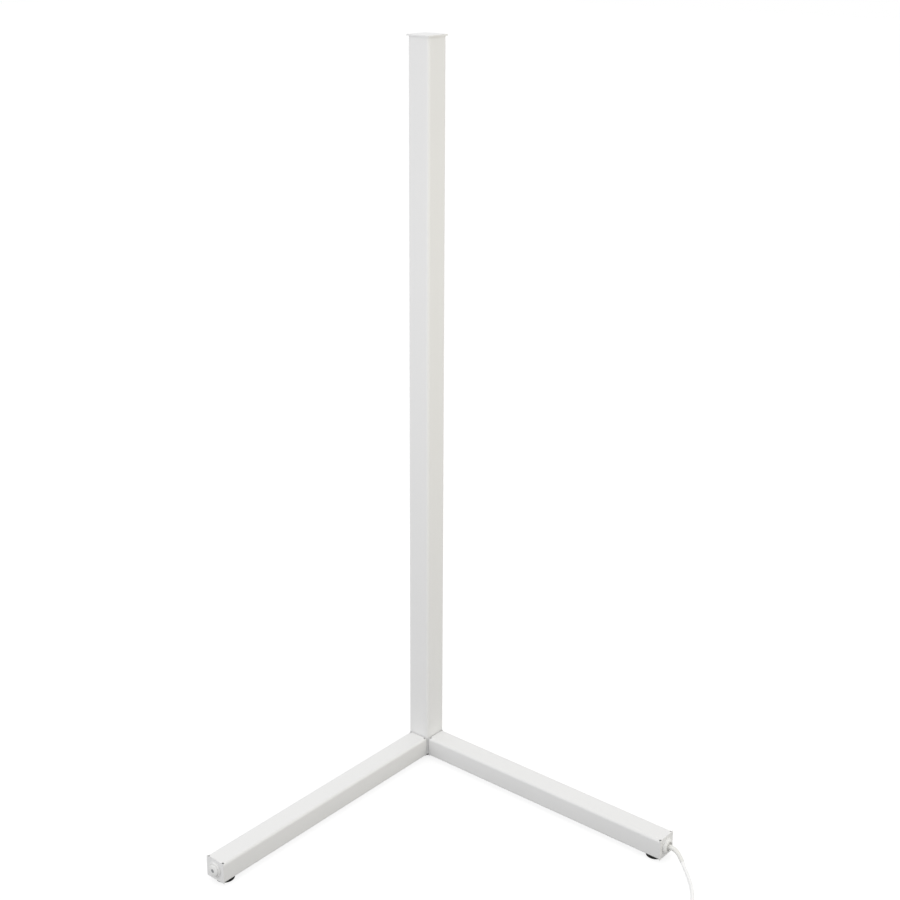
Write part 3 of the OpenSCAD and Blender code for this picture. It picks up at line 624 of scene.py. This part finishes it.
def box_of(node):
    """Lowest and highest corner of a CAD solid, in millimetres."""
    return [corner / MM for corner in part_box(node)]


low, high = box_of("led_chips")
chip_count = round((high.z - low.z - CHIP_SIZE[2]) / CHIP_PITCH) + 1
light_chips = block("light_chips", CHIP_SIZE,
                    (0, BOARD_FACE + CHIP_SIZE[1] / 2, low.z + CHIP_SIZE[2] / 2))
pick(light_chips, "FACE", lambda middle, normal: normal.y > 0.9)
bpy.ops.mesh.inset(thickness=CHIP_RIM * MM)
bpy.ops.mesh.extrude_region_move(TRANSFORM_OT_translate={"value": (0, -CHIP_WINDOW_DEPTH * MM, 0)})
bpy.ops.object.mode_set(mode="OBJECT")
put(light_chips, turn(WEB_ANGLE, "Z"))
apply(light_chips, "ARRAY", count=chip_count, use_relative_offset=False, use_constant_offset=True,
      constant_offset_displace=(0, 0, CHIP_PITCH * MM))

# Phosphor in clear silicone: strong yellow, glossy like a drop. The package is white polyamide.
phosphor = grained_material(
    "yellow_phosphor_gel", ("#F0D85A", "#E8C93F"), 1.5, 0.4, 0.01, (0.15, 0.25)
)
chip_package = grained_material(
    "white_chip_package", ("#F4F3EE", "#EFEEE8"), 3, 0.4, 0.005, (0.45, 0.55)
)
fit(light_chips, chip_package, "light_source", "led_chips")
light_chips.data.materials.append(phosphor)
window_depth = BOARD_FACE + CHIP_SIZE[1] - CHIP_WINDOW_DEPTH
outward = turn(WEB_ANGLE, "Z") @ Vector((0, 1, 0))
for face in light_chips.data.polygons:
    sunk = abs(face.center.dot(outward) / MM - window_depth) < CHIP_WINDOW_DEPTH / 6
    if sunk and face.normal.dot(outward) > 0.9:
        face.material_index = 1

# White solder resist over copper: the tracks show as slightly raised lines along the board.
board_resist = bpy.data.materials.new("white_solder_resist")
tree = empty_tree(board_resist)
place = add_node(tree, "ShaderNodeTexCoord", {}).outputs["Object"]
on_board = add_node(tree, "ShaderNodeMapping", {"Rotation": (0, 0, math.radians(-WEB_ANGLE))},
                    [("Vector", place)])
# The wave texture has 20 bands in a unit of its scale.
tracks = add_node(tree, "ShaderNodeTexWave",
                  {"Scale": 1 / (TRACK_PITCH * MM) / 20, "bands_direction": "X"},
                  [("Vector", on_board.outputs["Vector"])])
tint = add_node(tree, "ShaderNodeMix",
                {"data_type": "RGBA", 6: hex_colour("#F3F3F0"), 7: hex_colour("#E4E4DE")},
                [(0, tracks.outputs["Fac"])])
relief = add_node(tree, "ShaderNodeBump", {"Distance": TRACK_RELIEF * MM},
                  [("Height", tracks.outputs["Fac"])])
shader = add_node(tree, "ShaderNodeBsdfPrincipled", {"Roughness": 0.35},
                  [("Base Color", tint.outputs[2]), ("Normal", relief.outputs["Normal"])])
add_node(tree, "ShaderNodeOutputMaterial", {}, [("Surface", shader.outputs["BSDF"])])
coat("led_strip", board_resist)


# ---- Diffuser and cover ------------------------------------------------------------------
# An extruded opal acrylic angle closes the lit edge of the post, and a short white cover of the
# same section hides the bolts and the wiring below it. Both snap in with hooks along their edges.
def copy_of(node, name, edge_mm=0.2, segments=2):
    """A copy of a CAD solid, merged into whole flat faces, with its edges softened."""
    piece = duplicate(name, nodes[node])
    bpy.ops.mesh.customdata_custom_splitnormals_clear()
    bpy.ops.object.mode_set(mode="EDIT")
    bpy.ops.mesh.select_all(action="SELECT")
    bpy.ops.mesh.remove_doubles(threshold=MM / 1000)
    bpy.ops.mesh.dissolve_limited(angle_limit=math.radians(0.5))
    bpy.ops.object.mode_set(mode="OBJECT")
    soften(piece, edge_mm, segments)
    return piece


diffuser = copy_of("diffuser", "diffuser_angle")
# Opal acrylic, extruded satin: milky, so light goes a little way in and its edges look soft.
opal_acrylic = grained_material(
    "opal_acrylic", ("#F4F4F0", "#F1F1EC"), 80, 0.9, 0.01, (0.32, 0.4),
    {"Subsurface Weight": 0.35, "Subsurface Radius": (1, 1, 0.9), "Subsurface Scale": 2 * MM,
     "IOR": 1.49},
)
fit(diffuser, opal_acrylic, "opal_cover", "diffuser")

access_cover = copy_of("access_cover", "foot_cover")
# White ABS, extruded or moulded: a touch greyer than the paint, with a fine even grain.
white_abs = grained_material(
    "white_abs", ("#EDEDEC", "#E9E9E8"), 60, 0.7, 0.02, (0.38, 0.48), {"IOR": 1.54}
)
fit(access_cover, white_abs, "white_plastic", "access_cover")


# ---- Top cap -----------------------------------------------------------------------------
# A square of steel plate, painted with the post, that stands a little past it all round. Three
# countersunk screws with cross recesses hold it in the post's screw ports.
CAP_EDGE = 0.35
SCREW_HEAD_RADIUS = 3
SCREW_SHANK_RADIUS = 1.4
SCREW_CLEARANCE = 0.2
SCREW_LENGTH = 12


def stamp_cross(screw, width_mm, depth_mm):
    """Stamps a cross recess into the top of a screw, which is at the origin."""
    for degrees in (0, 90):
        punch = block("punch", (width_mm, width_mm * 0.24, 2 * depth_mm), (0, 0, 0))
        pick(punch, "FACE", lambda middle, normal: normal.z < -0.9)
        bpy.ops.transform.resize(value=(0.45, 0.8, 1), center_override=(0, 0, -depth_mm * MM))
        bpy.ops.object.mode_set(mode="OBJECT")
        put(punch, turn(degrees, "Z"))
        cut(screw, punch)


low, high = box_of("top_cap")
lamp_top = high.z
port = box_of("top_cap_screws")[1].x - SCREW_HEAD_RADIUS
port_corners = ((port, port), (-port, -port), (port, -port))
head_seat, shank_hole = (r + SCREW_CLEARANCE for r in (SCREW_HEAD_RADIUS, SCREW_SHANK_RADIUS))
cone_end = SCREW_SHANK_RADIUS - SCREW_HEAD_RADIUS
below_plate = -2 * SCREW_HEAD_RADIUS
top_cap = block("cap_plate", high - low, (low + high) / 2)
soften(top_cap, CAP_EDGE)
for x, y in port_corners:
    countersink = spun("countersink", [
        (0, below_plate), (shank_hole, below_plate), (shank_hole, cone_end), (head_seat, 0),
        (head_seat, 1), (0, 1),
    ], 32)
    put(countersink, moved(x, y, lamp_top))
    cut(top_cap, countersink)
fit(top_cap, powder_coat, "white_paint", "top_cap")

cap_screw = spun("cap_screw", [
    (0, -SCREW_LENGTH), (SCREW_SHANK_RADIUS, -SCREW_LENGTH), (SCREW_SHANK_RADIUS, cone_end),
    (SCREW_HEAD_RADIUS, -0.15), (SCREW_HEAD_RADIUS, 0), (0, 0),
], 32)
stamp_cross(cap_screw, 3.6, 1.3)
soften(cap_screw, 0.08, 2)
# Each screw has stopped at an angle of its own.
cap_screws = copies("cap_screws", cap_screw, [
    moved(x, y, lamp_top) @ turn(17 * (i + 1), "Z") for i, (x, y) in enumerate(port_corners)
])
# The same powder, baked on the screw heads: thinner there, so a little greyer and glossier.
painted_screw = grained_material(
    "white_painted_screw", ("#ECECEB", "#E4E4E2"), 4, 0.8, 0.02, (0.35, 0.45)
)
fit(cap_screws, painted_screw, "white_paint_screw", "top_cap_screws")


# ---- Foot of the post --------------------------------------------------------------------
# A black moulded block closes the lower end of the post and carries the rear foot. Three
# zinc-plated screws hold it from below in the same ports.
foot_block = copy_of("post_foot_block", "foot_block")
# Black ABS, moulded against an eroded tool: dark grey on its grain, nearly matt.
black_abs = grained_material(
    "black_abs", ("#1E1E1F", "#181819"), 25, 0.6, 0.03, (0.5, 0.62), {"IOR": 1.54}
)
fit(foot_block, black_abs, "black_plastic", "post_foot_block")

block_screw = spun("block_screw", [
    (0, -SCREW_LENGTH), (SCREW_SHANK_RADIUS, -SCREW_LENGTH), (SCREW_SHANK_RADIUS, -1.9),
    (SCREW_HEAD_RADIUS, -1.9), (SCREW_HEAD_RADIUS, -0.7), (2.3, -0.1), (1.9, 0), (0, 0),
], 32)
stamp_cross(block_screw, 3.4, 1.2)
soften(block_screw, 0.12, 2)
block_bottom = box_of("foot_block_screws")[0].z
block_screws = copies("block_screws", block_screw, [
    moved(x, y, block_bottom) @ turn(180, "X") @ turn(23 * (i + 1), "Z")
    for i, (x, y) in enumerate(port_corners)
])
# Zinc plate, clear passivated: a bluish bright grey metal, slightly uneven from the barrel.
zinc_plate = grained_material(
    "zinc_plated_steel", ("#C6CBD1", "#AEB3B9"), 5, 0.5, 0.006, (0.28, 0.42), {"Metallic": 1}
)
fit(block_screws, zinc_plate, "zinc_steel", "foot_block_screws")


# ---- Rubber feet -------------------------------------------------------------------------
# Three round push-in feet of black rubber, one under the post and one near each leg's end. Each
# has a barbed stem, and a ring round its underside that grips the floor.
FOOT_RADIUS = 16.5
STEM_RADIUS = 4
STEM_HEIGHT = 6
STEM_BARB = 0.2
SOLE_RING_RADIUS = 8.8
SOLE_HOLLOW = 0.7
foot_height = box_of("left_leg_shell")[0].z
stem_neck, stem_top = STEM_RADIUS - STEM_BARB, foot_height + STEM_HEIGHT

foot_pattern = spun("foot_pattern", [
    (0, SOLE_HOLLOW), (8, SOLE_HOLLOW), (SOLE_RING_RADIUS, 0), (FOOT_RADIUS - 0.8, 0),
    (FOOT_RADIUS - 0.2, 0.3), (FOOT_RADIUS, 1), (FOOT_RADIUS, foot_height),
    (stem_neck, foot_height), (stem_neck, foot_height + 3.2), (STEM_RADIUS, foot_height + 3.4),
    (STEM_RADIUS, foot_height + 4.4), (3, stem_top), (0, stem_top),
])
soften(foot_pattern, 0.15, 2)
# Moulded rubber: jet black and dull, with a slight drift in its gloss.
black_rubber = grained_material(
    "black_rubber", ("#0B0B0B", "#060606"), 12, 0.6, 0.04, (0.68, 0.82),
    {"Specular IOR Level": 0.3},
)
for node, name in (("rear_foot", "foot_under_post"), ("right_foot", "foot_under_right_leg"),
                   ("left_foot", "foot_under_left_leg")):
    low, high = box_of(node)
    foot = duplicate(name, foot_pattern, moved((low.x + high.x) / 2, (low.y + high.y) / 2, 0))
    fit(foot, black_rubber, "black_rubber", node)
bpy.data.objects.remove(foot_pattern)


# ---- Legs --------------------------------------------------------------------------------
# Two beams folded from steel sheet, with flaps folded down over both ends, relieved by small
# round holes at the folds, then powder coated like the post. A thin black pad lies at the joint.
LEG_START = 25.2
LEG_WIDTH = 42
LEG_HEIGHT = 39
LEG_SHEET = 1.5
LEG_ROUNDING = 5
LEG_SLOT = 22
FLAP_BEND = 1.4
FLAP_EDGE = 0.25
RELIEF_RADIUS = 2
RELIEF_INSET = 3.6
BOLT_HEIGHTS = (21.5, 37.5)
BOLT_HOLE = 5.5
WIRE_HOLE = 9
WIRE_PLACE = (8.8, 29.5)
GLAND_HOLE = 16.6
SWITCH_HOLE = 24.9
SCREW_HOLE = 3.6
SCREW_ROWS = 13.5
SCREW_STATIONS = (36, LEG_END / 2, LEG_END - 60)
leg_bottom = box_of("right_leg_shell")[0].z
leg_top = leg_bottom + LEG_HEIGHT


def drill(piece, diameter, length, where):
    """Drills a round hole of that length, which starts at a place and follows its upright axis."""
    bpy.ops.object.select_all(action="DESELECT")
    bpy.ops.mesh.primitive_cylinder_add(
        vertices=40, radius=diameter / 2 * MM, depth=length * MM, location=(0, 0, length / 2 * MM)
    )
    bit = bpy.context.object
    bpy.ops.object.transform_apply(location=True, rotation=False, scale=False)
    put(bit, where)
    cut(piece, bit)


def folded_leg(name, end_hole, where):
    """Folds a leg along +X: a slotted beam, and a flap over each end with its relief holes."""
    inner, outer = LEG_START + FLAP_BEND, LEG_END - FLAP_BEND
    middle_z = leg_bottom + LEG_HEIGHT / 2
    reach = 3 * LEG_SHEET
    beam = block("beam", (outer - inner, LEG_WIDTH, LEG_HEIGHT),
                 ((inner + outer) / 2, LEG_MIDDLE_Y, middle_z))
    round_edges(beam, LEG_ROUNDING, 10, lambda middle, run: abs(run.x) > 1)
    pick(beam, "FACE", lambda middle, normal: abs(normal.x) > 0.9)
    bpy.ops.mesh.delete(type="FACE")
    bpy.ops.object.mode_set(mode="OBJECT")
    apply(beam, "SOLIDIFY", thickness=LEG_SHEET * MM, offset=-1, use_even_offset=True)
    cut(beam, block("slot_tool", (LEG_END, LEG_SLOT, reach),
                    (LEG_END / 2, LEG_MIDDLE_Y, leg_bottom)))
    for x in SCREW_STATIONS:
        for y in (-SCREW_ROWS, SCREW_ROWS):
            drill(beam, SCREW_HOLE, reach, moved(x, LEG_MIDDLE_Y + y, leg_bottom - LEG_SHEET))
    flaps = []
    for x, sign in ((LEG_START, 1), (LEG_END, -1)):
        flap = block("flap", (LEG_SHEET, LEG_WIDTH, LEG_HEIGHT),
                     (x + sign * LEG_SHEET / 2, LEG_MIDDLE_Y, middle_z))
        round_edges(flap, FLAP_BEND, 8, lambda middle, run: abs(run.y) > 1
                    and middle.z > leg_top - 1 and abs(middle.x - x) < 0.1)
        flaps.append(flap)
        for y in (-1, 1):
            relief = moved(x + sign * (LEG_SHEET + RELIEF_RADIUS / 2),
                           LEG_MIDDLE_Y + y * (LEG_WIDTH / 2 - RELIEF_INSET),
                           leg_top - LEG_ROUNDING)
            for part in (beam, flap):
                drill(part, 2 * RELIEF_RADIUS, 2 * LEG_ROUNDING, relief)
    holes = [(flaps[0], BOLT_HOLE, (LEG_START - 1, LEG_MIDDLE_Y, z)) for z in BOLT_HEIGHTS]
    holes.append((flaps[0], WIRE_HOLE, (LEG_START - 1, *WIRE_PLACE)))
    holes.append((flaps[1], end_hole, (LEG_END - 2 * LEG_SHEET, LEG_MIDDLE_Y, EXIT_Z)))
    for sheet, diameter, place in holes:
        drill(sheet, diameter, reach, moved(*place) @ turn(90, "Y"))
    for part in (beam, *flaps):
        put(part, where)
        bpy.ops.object.mode_set(mode="EDIT")
        close_mesh()
    only(beam)
    bpy.ops.object.shade_smooth_by_angle(angle=math.radians(30))
    for flap in flaps:
        soften(flap, FLAP_EDGE, 2)
    return joined(name, [beam, *flaps])


# The left leg is the right one as in a mirror, with +X and -Y swapped.
mirrored = Matrix(((0, -1, 0, 0), (-1, 0, 0, 0), (0, 0, 1, 0), (0, 0, 0, 1)))
for side, end_hole, where in (("right", GLAND_HOLE, Matrix.Identity(4)),
                              ("left", SWITCH_HOLE, mirrored)):
    leg = folded_leg(side + "_leg", end_hole, where)
    fit(leg, powder_coat, "white_paint", side + "_leg_shell")

leg_pads = copy_of("leg_gaskets", "leg_pads")
# Cellular rubber: charcoal, fully matt, with open pores that make it look a little lighter.
foam_rubber = grained_material(
    "black_cellular_rubber", ("#232323", "#181818"), 3, 0.7, 0.12, (0.85, 0.95)
)
fit(leg_pads, foam_rubber, "black_rubber", "leg_gaskets")

for node, name, edge_mm in (("leg_bolts", "leg_fixing_bolts", 0.2),
                            ("leg_nuts", "leg_fixing_nuts", 0.3)):
    fit(copy_of(node, name, edge_mm), zinc_plate, "zinc_steel", node)


# ---- Base plates -------------------------------------------------------------------------
# A strip of galvanised sheet lies on the return flanges inside each leg, held by three pairs of
# screws from below. It carries the foot, and weighs the leg down.
SPANGLE = 9
PLATE_SCREW_LENGTH = 7
PLATE_SCREW_HEAD = 2.75
PLATE_SCREW_RADIUS = 1.5

# Hot-dip zinc freezes into flat crystals some 9 mm across, each with its own grey and gloss.
galvanised = bpy.data.materials.new("galvanised_sheet")
tree = empty_tree(galvanised)
place = add_node(tree, "ShaderNodeTexCoord", {}).outputs["Object"]
crystals = add_node(tree, "ShaderNodeTexVoronoi", {"Scale": 1 / (SPANGLE * MM)},
                    [("Vector", place)])
shade = add_node(tree, "ShaderNodeSeparateColor", {},
                 [("Color", crystals.outputs["Color"])]).outputs["Red"]
tint = add_node(tree, "ShaderNodeMix",
                {"data_type": "RGBA", 6: hex_colour("#B3B8BC"), 7: hex_colour("#C9CDD1")},
                [(0, shade)])
gloss = add_node(tree, "ShaderNodeMapRange", {"To Min": 0.3, "To Max": 0.5}, [("Value", shade)])
shader = add_node(tree, "ShaderNodeBsdfPrincipled", {"Metallic": 1},
                  [("Base Color", tint.outputs[2]), ("Roughness", gloss.outputs["Result"])])
add_node(tree, "ShaderNodeOutputMaterial", {}, [("Surface", shader.outputs["BSDF"])])
for side in ("right", "left"):
    plate = copy_of(side + "_base_plate", side + "_plate")
    fit(plate, galvanised, "zinc_sheet", side + "_base_plate")

plate_screw = spun("plate_screw", [
    (0, -PLATE_SCREW_LENGTH), (PLATE_SCREW_RADIUS, -PLATE_SCREW_LENGTH),
    (PLATE_SCREW_RADIUS, -2), (PLATE_SCREW_HEAD, -2), (PLATE_SCREW_HEAD, -1.1), (2.2, -0.3),
    (1.6, 0), (0, 0),
], 24)
stamp_cross(plate_screw, 3, 1.1)
soften(plate_screw, 0.12, 2)
low, high = box_of("base_plate_screws")
row_x = (*SCREW_STATIONS[:2], high.x - PLATE_SCREW_HEAD)
row_y = (high.y - PLATE_SCREW_HEAD, 2 * LEG_MIDDLE_Y - high.y + PLATE_SCREW_HEAD)
right_spots = [(x, y) for x in row_x for y in row_y]
left_spots = [(-y, -x) for x, y in right_spots]
plate_screws = copies("plate_screws", plate_screw, [
    moved(x, y, low.z) @ turn(180, "X") @ turn(31 * i, "Z")
    for i, (x, y) in enumerate(right_spots + left_spots)
])
fit(plate_screws, zinc_plate, "zinc_steel", "base_plate_screws")


# ---- Cable gland and strain relief -------------------------------------------------------
# A white domed gland in the right leg's end grips a soft ribbed sleeve, which bends down with the
# cable and thins towards its end. A hexagon nut inside the leg holds the gland.
GLAND_RADIUS = 13.5
GLAND_HEIGHT = 6.5
GLAND_ROUNDING = 4
GLAND_NECK_RADIUS = 8
GLAND_BORE = 5.25
GLAND_BACK = -10.5
SLEEVE_BACK = -18.5
SLEEVE_LENGTH = 33.8
SLEEVE_COLLAR = (6, 1.5)
SLEEVE_RADII = (5.2, 4.4, 3.65)
SLEEVE_BORE = 3.06
SLEEVE_RIBS = 9
RIB_DEPTH = 0.42

at_right_end = moved(LEG_END, LEG_MIDDLE_Y, EXIT_Z) @ turn(90, "Y")
dome = [
    (GLAND_RADIUS - GLAND_ROUNDING * (1 - math.cos(math.radians(a))),
     GLAND_HEIGHT - GLAND_ROUNDING * (1 - math.sin(math.radians(a)))) for a in range(0, 91, 10)
]
recess = [(8.4, GLAND_HEIGHT), (7.6, GLAND_HEIGHT - 4.6), (4.7, GLAND_HEIGHT - 4.8)]
cable_gland = spun("domed_gland", [
    (GLAND_BORE, GLAND_BACK), (GLAND_NECK_RADIUS, GLAND_BACK), (GLAND_NECK_RADIUS, 0),
    (GLAND_RADIUS, 0), *dome, *recess, (GLAND_BORE, GLAND_BACK),
], 64)
soften(cable_gland, 0.3)
put(cable_gland, at_right_end)
fit(cable_gland, white_abs, "white_plastic", "cable_gland")

gland_nut = copy_of("gland_nut", "gland_lock_nut", 0.3)
fit(gland_nut, white_abs, "white_plastic", "gland_nut")

rib_pitch = SLEEVE_LENGTH / SLEEVE_RIBS
back_radius, root_radius, tip_radius = SLEEVE_RADII
collar_back = SLEEVE_BACK - SLEEVE_COLLAR[1]
sleeve_profile = [
    (SLEEVE_BORE, collar_back), (SLEEVE_COLLAR[0], collar_back), (SLEEVE_COLLAR[0], SLEEVE_BACK),
    (back_radius, SLEEVE_BACK), (root_radius, 0),
]
for i in range(SLEEVE_RIBS):
    for share, depth in ((0.25, 0), (0.25, RIB_DEPTH), (0.6, RIB_DEPTH), (0.6, 0)):
        along = (i + share) * rib_pitch
        radius = root_radius + (tip_radius - root_radius) * along / SLEEVE_LENGTH
        sleeve_profile.append((radius - depth, along))
sleeve_profile += [(tip_radius, SLEEVE_LENGTH), (SLEEVE_BORE, SLEEVE_LENGTH)]
# The bore has rings of its own, so that it bends with the cable too.
sleeve_profile += [(SLEEVE_BORE, along) for along in range(30, -18, -3)]
sleeve_profile.append(sleeve_profile[0])
strain_relief = spun("ribbed_sleeve", sleeve_profile, 32)
soften(strain_relief, 0.12, 2)
put(strain_relief, turn(90, "Y"))
apply(strain_relief, "CURVE", object=mains_cable, deform_axis="POS_X")
# Soft thermoplastic, moulded: white like the cable, but duller.
soft_sleeve = grained_material(
    "white_soft_elastomer", ("#F2F2F0", "#EEEEEB"), 20, 0.6, 0.02, (0.5, 0.6)
)
fit(strain_relief, soft_sleeve, "white_cable_jacket", "strain_relief")


# ---- Push switch -------------------------------------------------------------------------
# A round push switch in the left leg's end, of white ABS: a housing with a rounded ring, a ring
# nut behind the sheet, and a crowned button on a spring with a small grey window in its middle.
RING_RADIUS = 13.5
RING_HEIGHT = 3.2
HOUSING_RADIUS = 12.3
HOUSING_LENGTH = 23
CAP_BORE = 11
CAP_SEAT = -1.2
STEM_BORE = 5
STEM_BORE_DEPTH = 17
BUTTON_RADIUS = 10.7
BUTTON_BACK = 1.5
BUTTON_HEIGHT = 6.5
BUTTON_STEM_RADIUS = 2.5
BUTTON_STEM_END = -12
WINDOW_RADIUS = 3.4
WINDOW_DEPTH = 1.05
WINDOW_GAP = 0.05
SPRING_TURNS = 6
SPRING_RADIUS = 3.8
SPRING_WIRE = 0.8
SPRING_GAP = 0.3

low, high = box_of("left_leg_shell")
at_left_end = moved((low.x + high.x) / 2, low.y, EXIT_Z) @ turn(90, "X")
housing = spun("switch_barrel", [
    (0, -STEM_BORE_DEPTH), (STEM_BORE, -STEM_BORE_DEPTH), (STEM_BORE, CAP_SEAT),
    (CAP_BORE, CAP_SEAT), (CAP_BORE, RING_HEIGHT - 0.3), (CAP_BORE + 0.3, RING_HEIGHT),
    (12.1, RING_HEIGHT), (12.8, 2.9), (13.25, 2.35), (RING_RADIUS, 1.6), (RING_RADIUS, 0),
    (HOUSING_RADIUS, 0), (HOUSING_RADIUS, -HOUSING_LENGTH), (0, -HOUSING_LENGTH),
], 64)
soften(housing, 0.2, 2)
put(housing, at_left_end)
fit(housing, white_abs, "white_plastic", "switch_housing")

ring_nut = copy_of("switch_ring_nut", "switch_lock_ring", 0.3)
fit(ring_nut, white_abs, "white_plastic", "switch_ring_nut")

window_floor = BUTTON_HEIGHT - WINDOW_DEPTH
crown = [(10.55, 4.05), (10.15, 4.55), (9.5, 5), (8.6, 5.4), (7.4, 5.78), (6, 6.08), (4.7, 6.26)]
button = spun("push_button", [
    (0, BUTTON_STEM_END), (BUTTON_STEM_RADIUS, BUTTON_STEM_END),
    (BUTTON_STEM_RADIUS, BUTTON_BACK), (BUTTON_RADIUS, BUTTON_BACK), (BUTTON_RADIUS, 3.5),
    *crown, (WINDOW_RADIUS + WINDOW_GAP, 6.36), (WINDOW_RADIUS + WINDOW_GAP, window_floor),
    (0, window_floor),
], 64)
soften(button, 0.15, 2)
put(button, at_left_end)
fit(button, white_abs, "white_plastic", "button_cap", body="button")

window = spun("button_window", [
    (0, window_floor), (WINDOW_RADIUS, window_floor), (WINDOW_RADIUS, 6.2), (2.9, 6.3),
    (2, 6.39), (1, 6.44), (0, 6.45),
], 48)
soften(window, 0.12, 2)
put(window, at_left_end)
# Smoked polycarbonate: a grey that nothing behind it shows through, with a glossy skin.
grey_window = grained_material(
    "grey_polycarbonate", ("#8D8F92", "#86888B"), 8, 0.5, 0.004, (0.18, 0.26), {"IOR": 1.58}
)
fit(window, grey_window, "grey_lens", "button_lens", body="button")

# The spring's wire starts as a ring beside the stem, wound from the floor of the bore up to the
# button's back.
lower_turn = SPRING_GAP + SPRING_WIRE / 2 - STEM_BORE_DEPTH
upper_turn = BUTTON_BACK - SPRING_GAP - SPRING_WIRE / 2
bpy.ops.object.select_all(action="DESELECT")
bpy.ops.mesh.primitive_circle_add(vertices=12, radius=SPRING_WIRE / 2 * MM)
spring = bpy.context.object
spring.name = "stem_spring"
put(spring, moved(SPRING_RADIUS, 0, lower_turn) @ turn(90, "X"))
apply(spring, "SCREW", steps=28, render_steps=28, iterations=SPRING_TURNS,
      screw_offset=(upper_turn - lower_turn) / SPRING_TURNS * MM, use_merge_vertices=False)
bpy.ops.object.mode_set(mode="EDIT")
bpy.ops.mesh.select_mode(type="EDGE")
bpy.ops.mesh.select_all(action="DESELECT")
bpy.ops.mesh.select_non_manifold()
bpy.ops.mesh.fill_holes(sides=0)
close_mesh()
bpy.ops.object.shade_smooth_by_angle(angle=math.radians(40))
put(spring, at_left_end)
# Drawn spring wire: grey and satin, a little uneven in its gloss.
spring_wire = grained_material(
    "drawn_spring_wire", ("#A3A4A6", "#8F9092"), 3, 0.4, 0.004, (0.3, 0.42), {"Metallic": 1}
)
fit(spring, spring_wire, "spring_steel", "button_spring")
low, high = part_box("button_spring")
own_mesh(spring)


# ---- Driver and wiring -------------------------------------------------------------------
# The power supply lies in the right leg, in a closed case of pale grey plastic. White leads join
# it to the mains cable, the switch and the strip, through a lever connector in the post's foot.
LEVER_SIZE = (5, 12, 1.6)
LEVER_PITCH = 6.2
LEAD_D = 4
STRIP_LEAD_D = 2.8
LEAD_FINENESS = (4, 6)
MAINS_LEAD = [
    (566, 27.5), (538, 27.5), (520, 25.7), (500, 20.9), (475, 15.9), (450, 13.7), (436, 13.7),
    (272, 13.7), (258, 13.7), (244, 14.3), (232, 16.5), (222, 19.1), (216, 19.5), (210, 19.5),
]
DRIVER_LEAD = [
    (70, 0, 19.5), (66, 0, 19.5), (60, 0.8, 20.1), (52, 3.4, 23.5), (42, 7.8, 27.9), (34, 10, 29.5),
]
SWITCH_LEAD = [
    (535, 0, 27.5), (530, 0, 27.5), (520, 0, 25.5), (504, 0, 19.5), (484, 0, 13.9), (466, 0, 12.6),
    (452, 0, 12.6), (94, 0, 12.6), (80, 0, 12.6), (66, 1, 14.5), (52, 4.4, 21.5), (42, 7.8, 27.5),
    (34, 10, 29.5),
]
POST_RISE = [
    (20, 8.8, 29.5), (13.4, 8.6, 29.9), (8.4, 7, 31.9), (5.4, 5.2, 34.9), (5, 5, 37.5),
    (5, 5, 39.5),
]
STRIP_LEAD = [
    (2, -2, 53.5), (2, -2, 55.5), (2.8, -2.8, 58.5), (5, -5, 63), (8.6, -8.6, 68.5),
    (10.6, -10.6, 73), (11, -11, 78),
]

driver = copy_of("led_driver", "driver_case", 0.7, 3)
# Pale grey flame-proofed plastic, moulded: even and matt.
grey_case = grained_material(
    "grey_polycarbonate_blend", ("#CFCFCD", "#C9C9C6"), 30, 0.6, 0.03, (0.48, 0.58), {"IOR": 1.57}
)
fit(driver, grey_case, "driver_case", "led_driver")

connector = copy_of("wire_connector", "connector_shell", 0.6, 3)
low, high = box_of("wire_connector")
lever = block("lever", LEVER_SIZE, (0, 0, 0))
soften(lever, 0.5)
levers = copies("levers", lever, [
    moved((low.x + high.x) / 2 + step, (low.y + high.y) / 2 + 1, high.z)
    for step in (-LEVER_PITCH, 0, LEVER_PITCH)
])
connector = joined("lever_connector", [connector, levers])
fit(connector, grey_case, "driver_case", "wire_connector")

mains_route = [(x, LEG_MIDDLE_Y, z) for x, z in MAINS_LEAD]
driver_route = [(x, LEG_MIDDLE_Y + y, z) for x, y, z in DRIVER_LEAD] + POST_RISE
switch_route = [(x, LEG_MIDDLE_Y + y, z) for x, y, z in SWITCH_LEAD] + POST_RISE
switch_route = [(-y, -x, z) for x, y, z in switch_route]
for name, node, diameter, route in (
    ("mains_wire", "mains_lead", CABLE_D, mains_route),
    ("driver_wire", "driver_lead", LEAD_D, driver_route),
    ("switch_wire", "switch_lead", LEAD_D, switch_route),
    ("strip_wire", "strip_lead", STRIP_LEAD_D, STRIP_LEAD),
):
    wire = round_lead(name, route, diameter, LEAD_FINENESS)
    only(wire)
    bpy.ops.object.convert(target="MESH")
    bpy.ops.object.mode_set(mode="EDIT")
    close_mesh()
    fit(wire, cable_jacket, "white_cable_jacket", node)
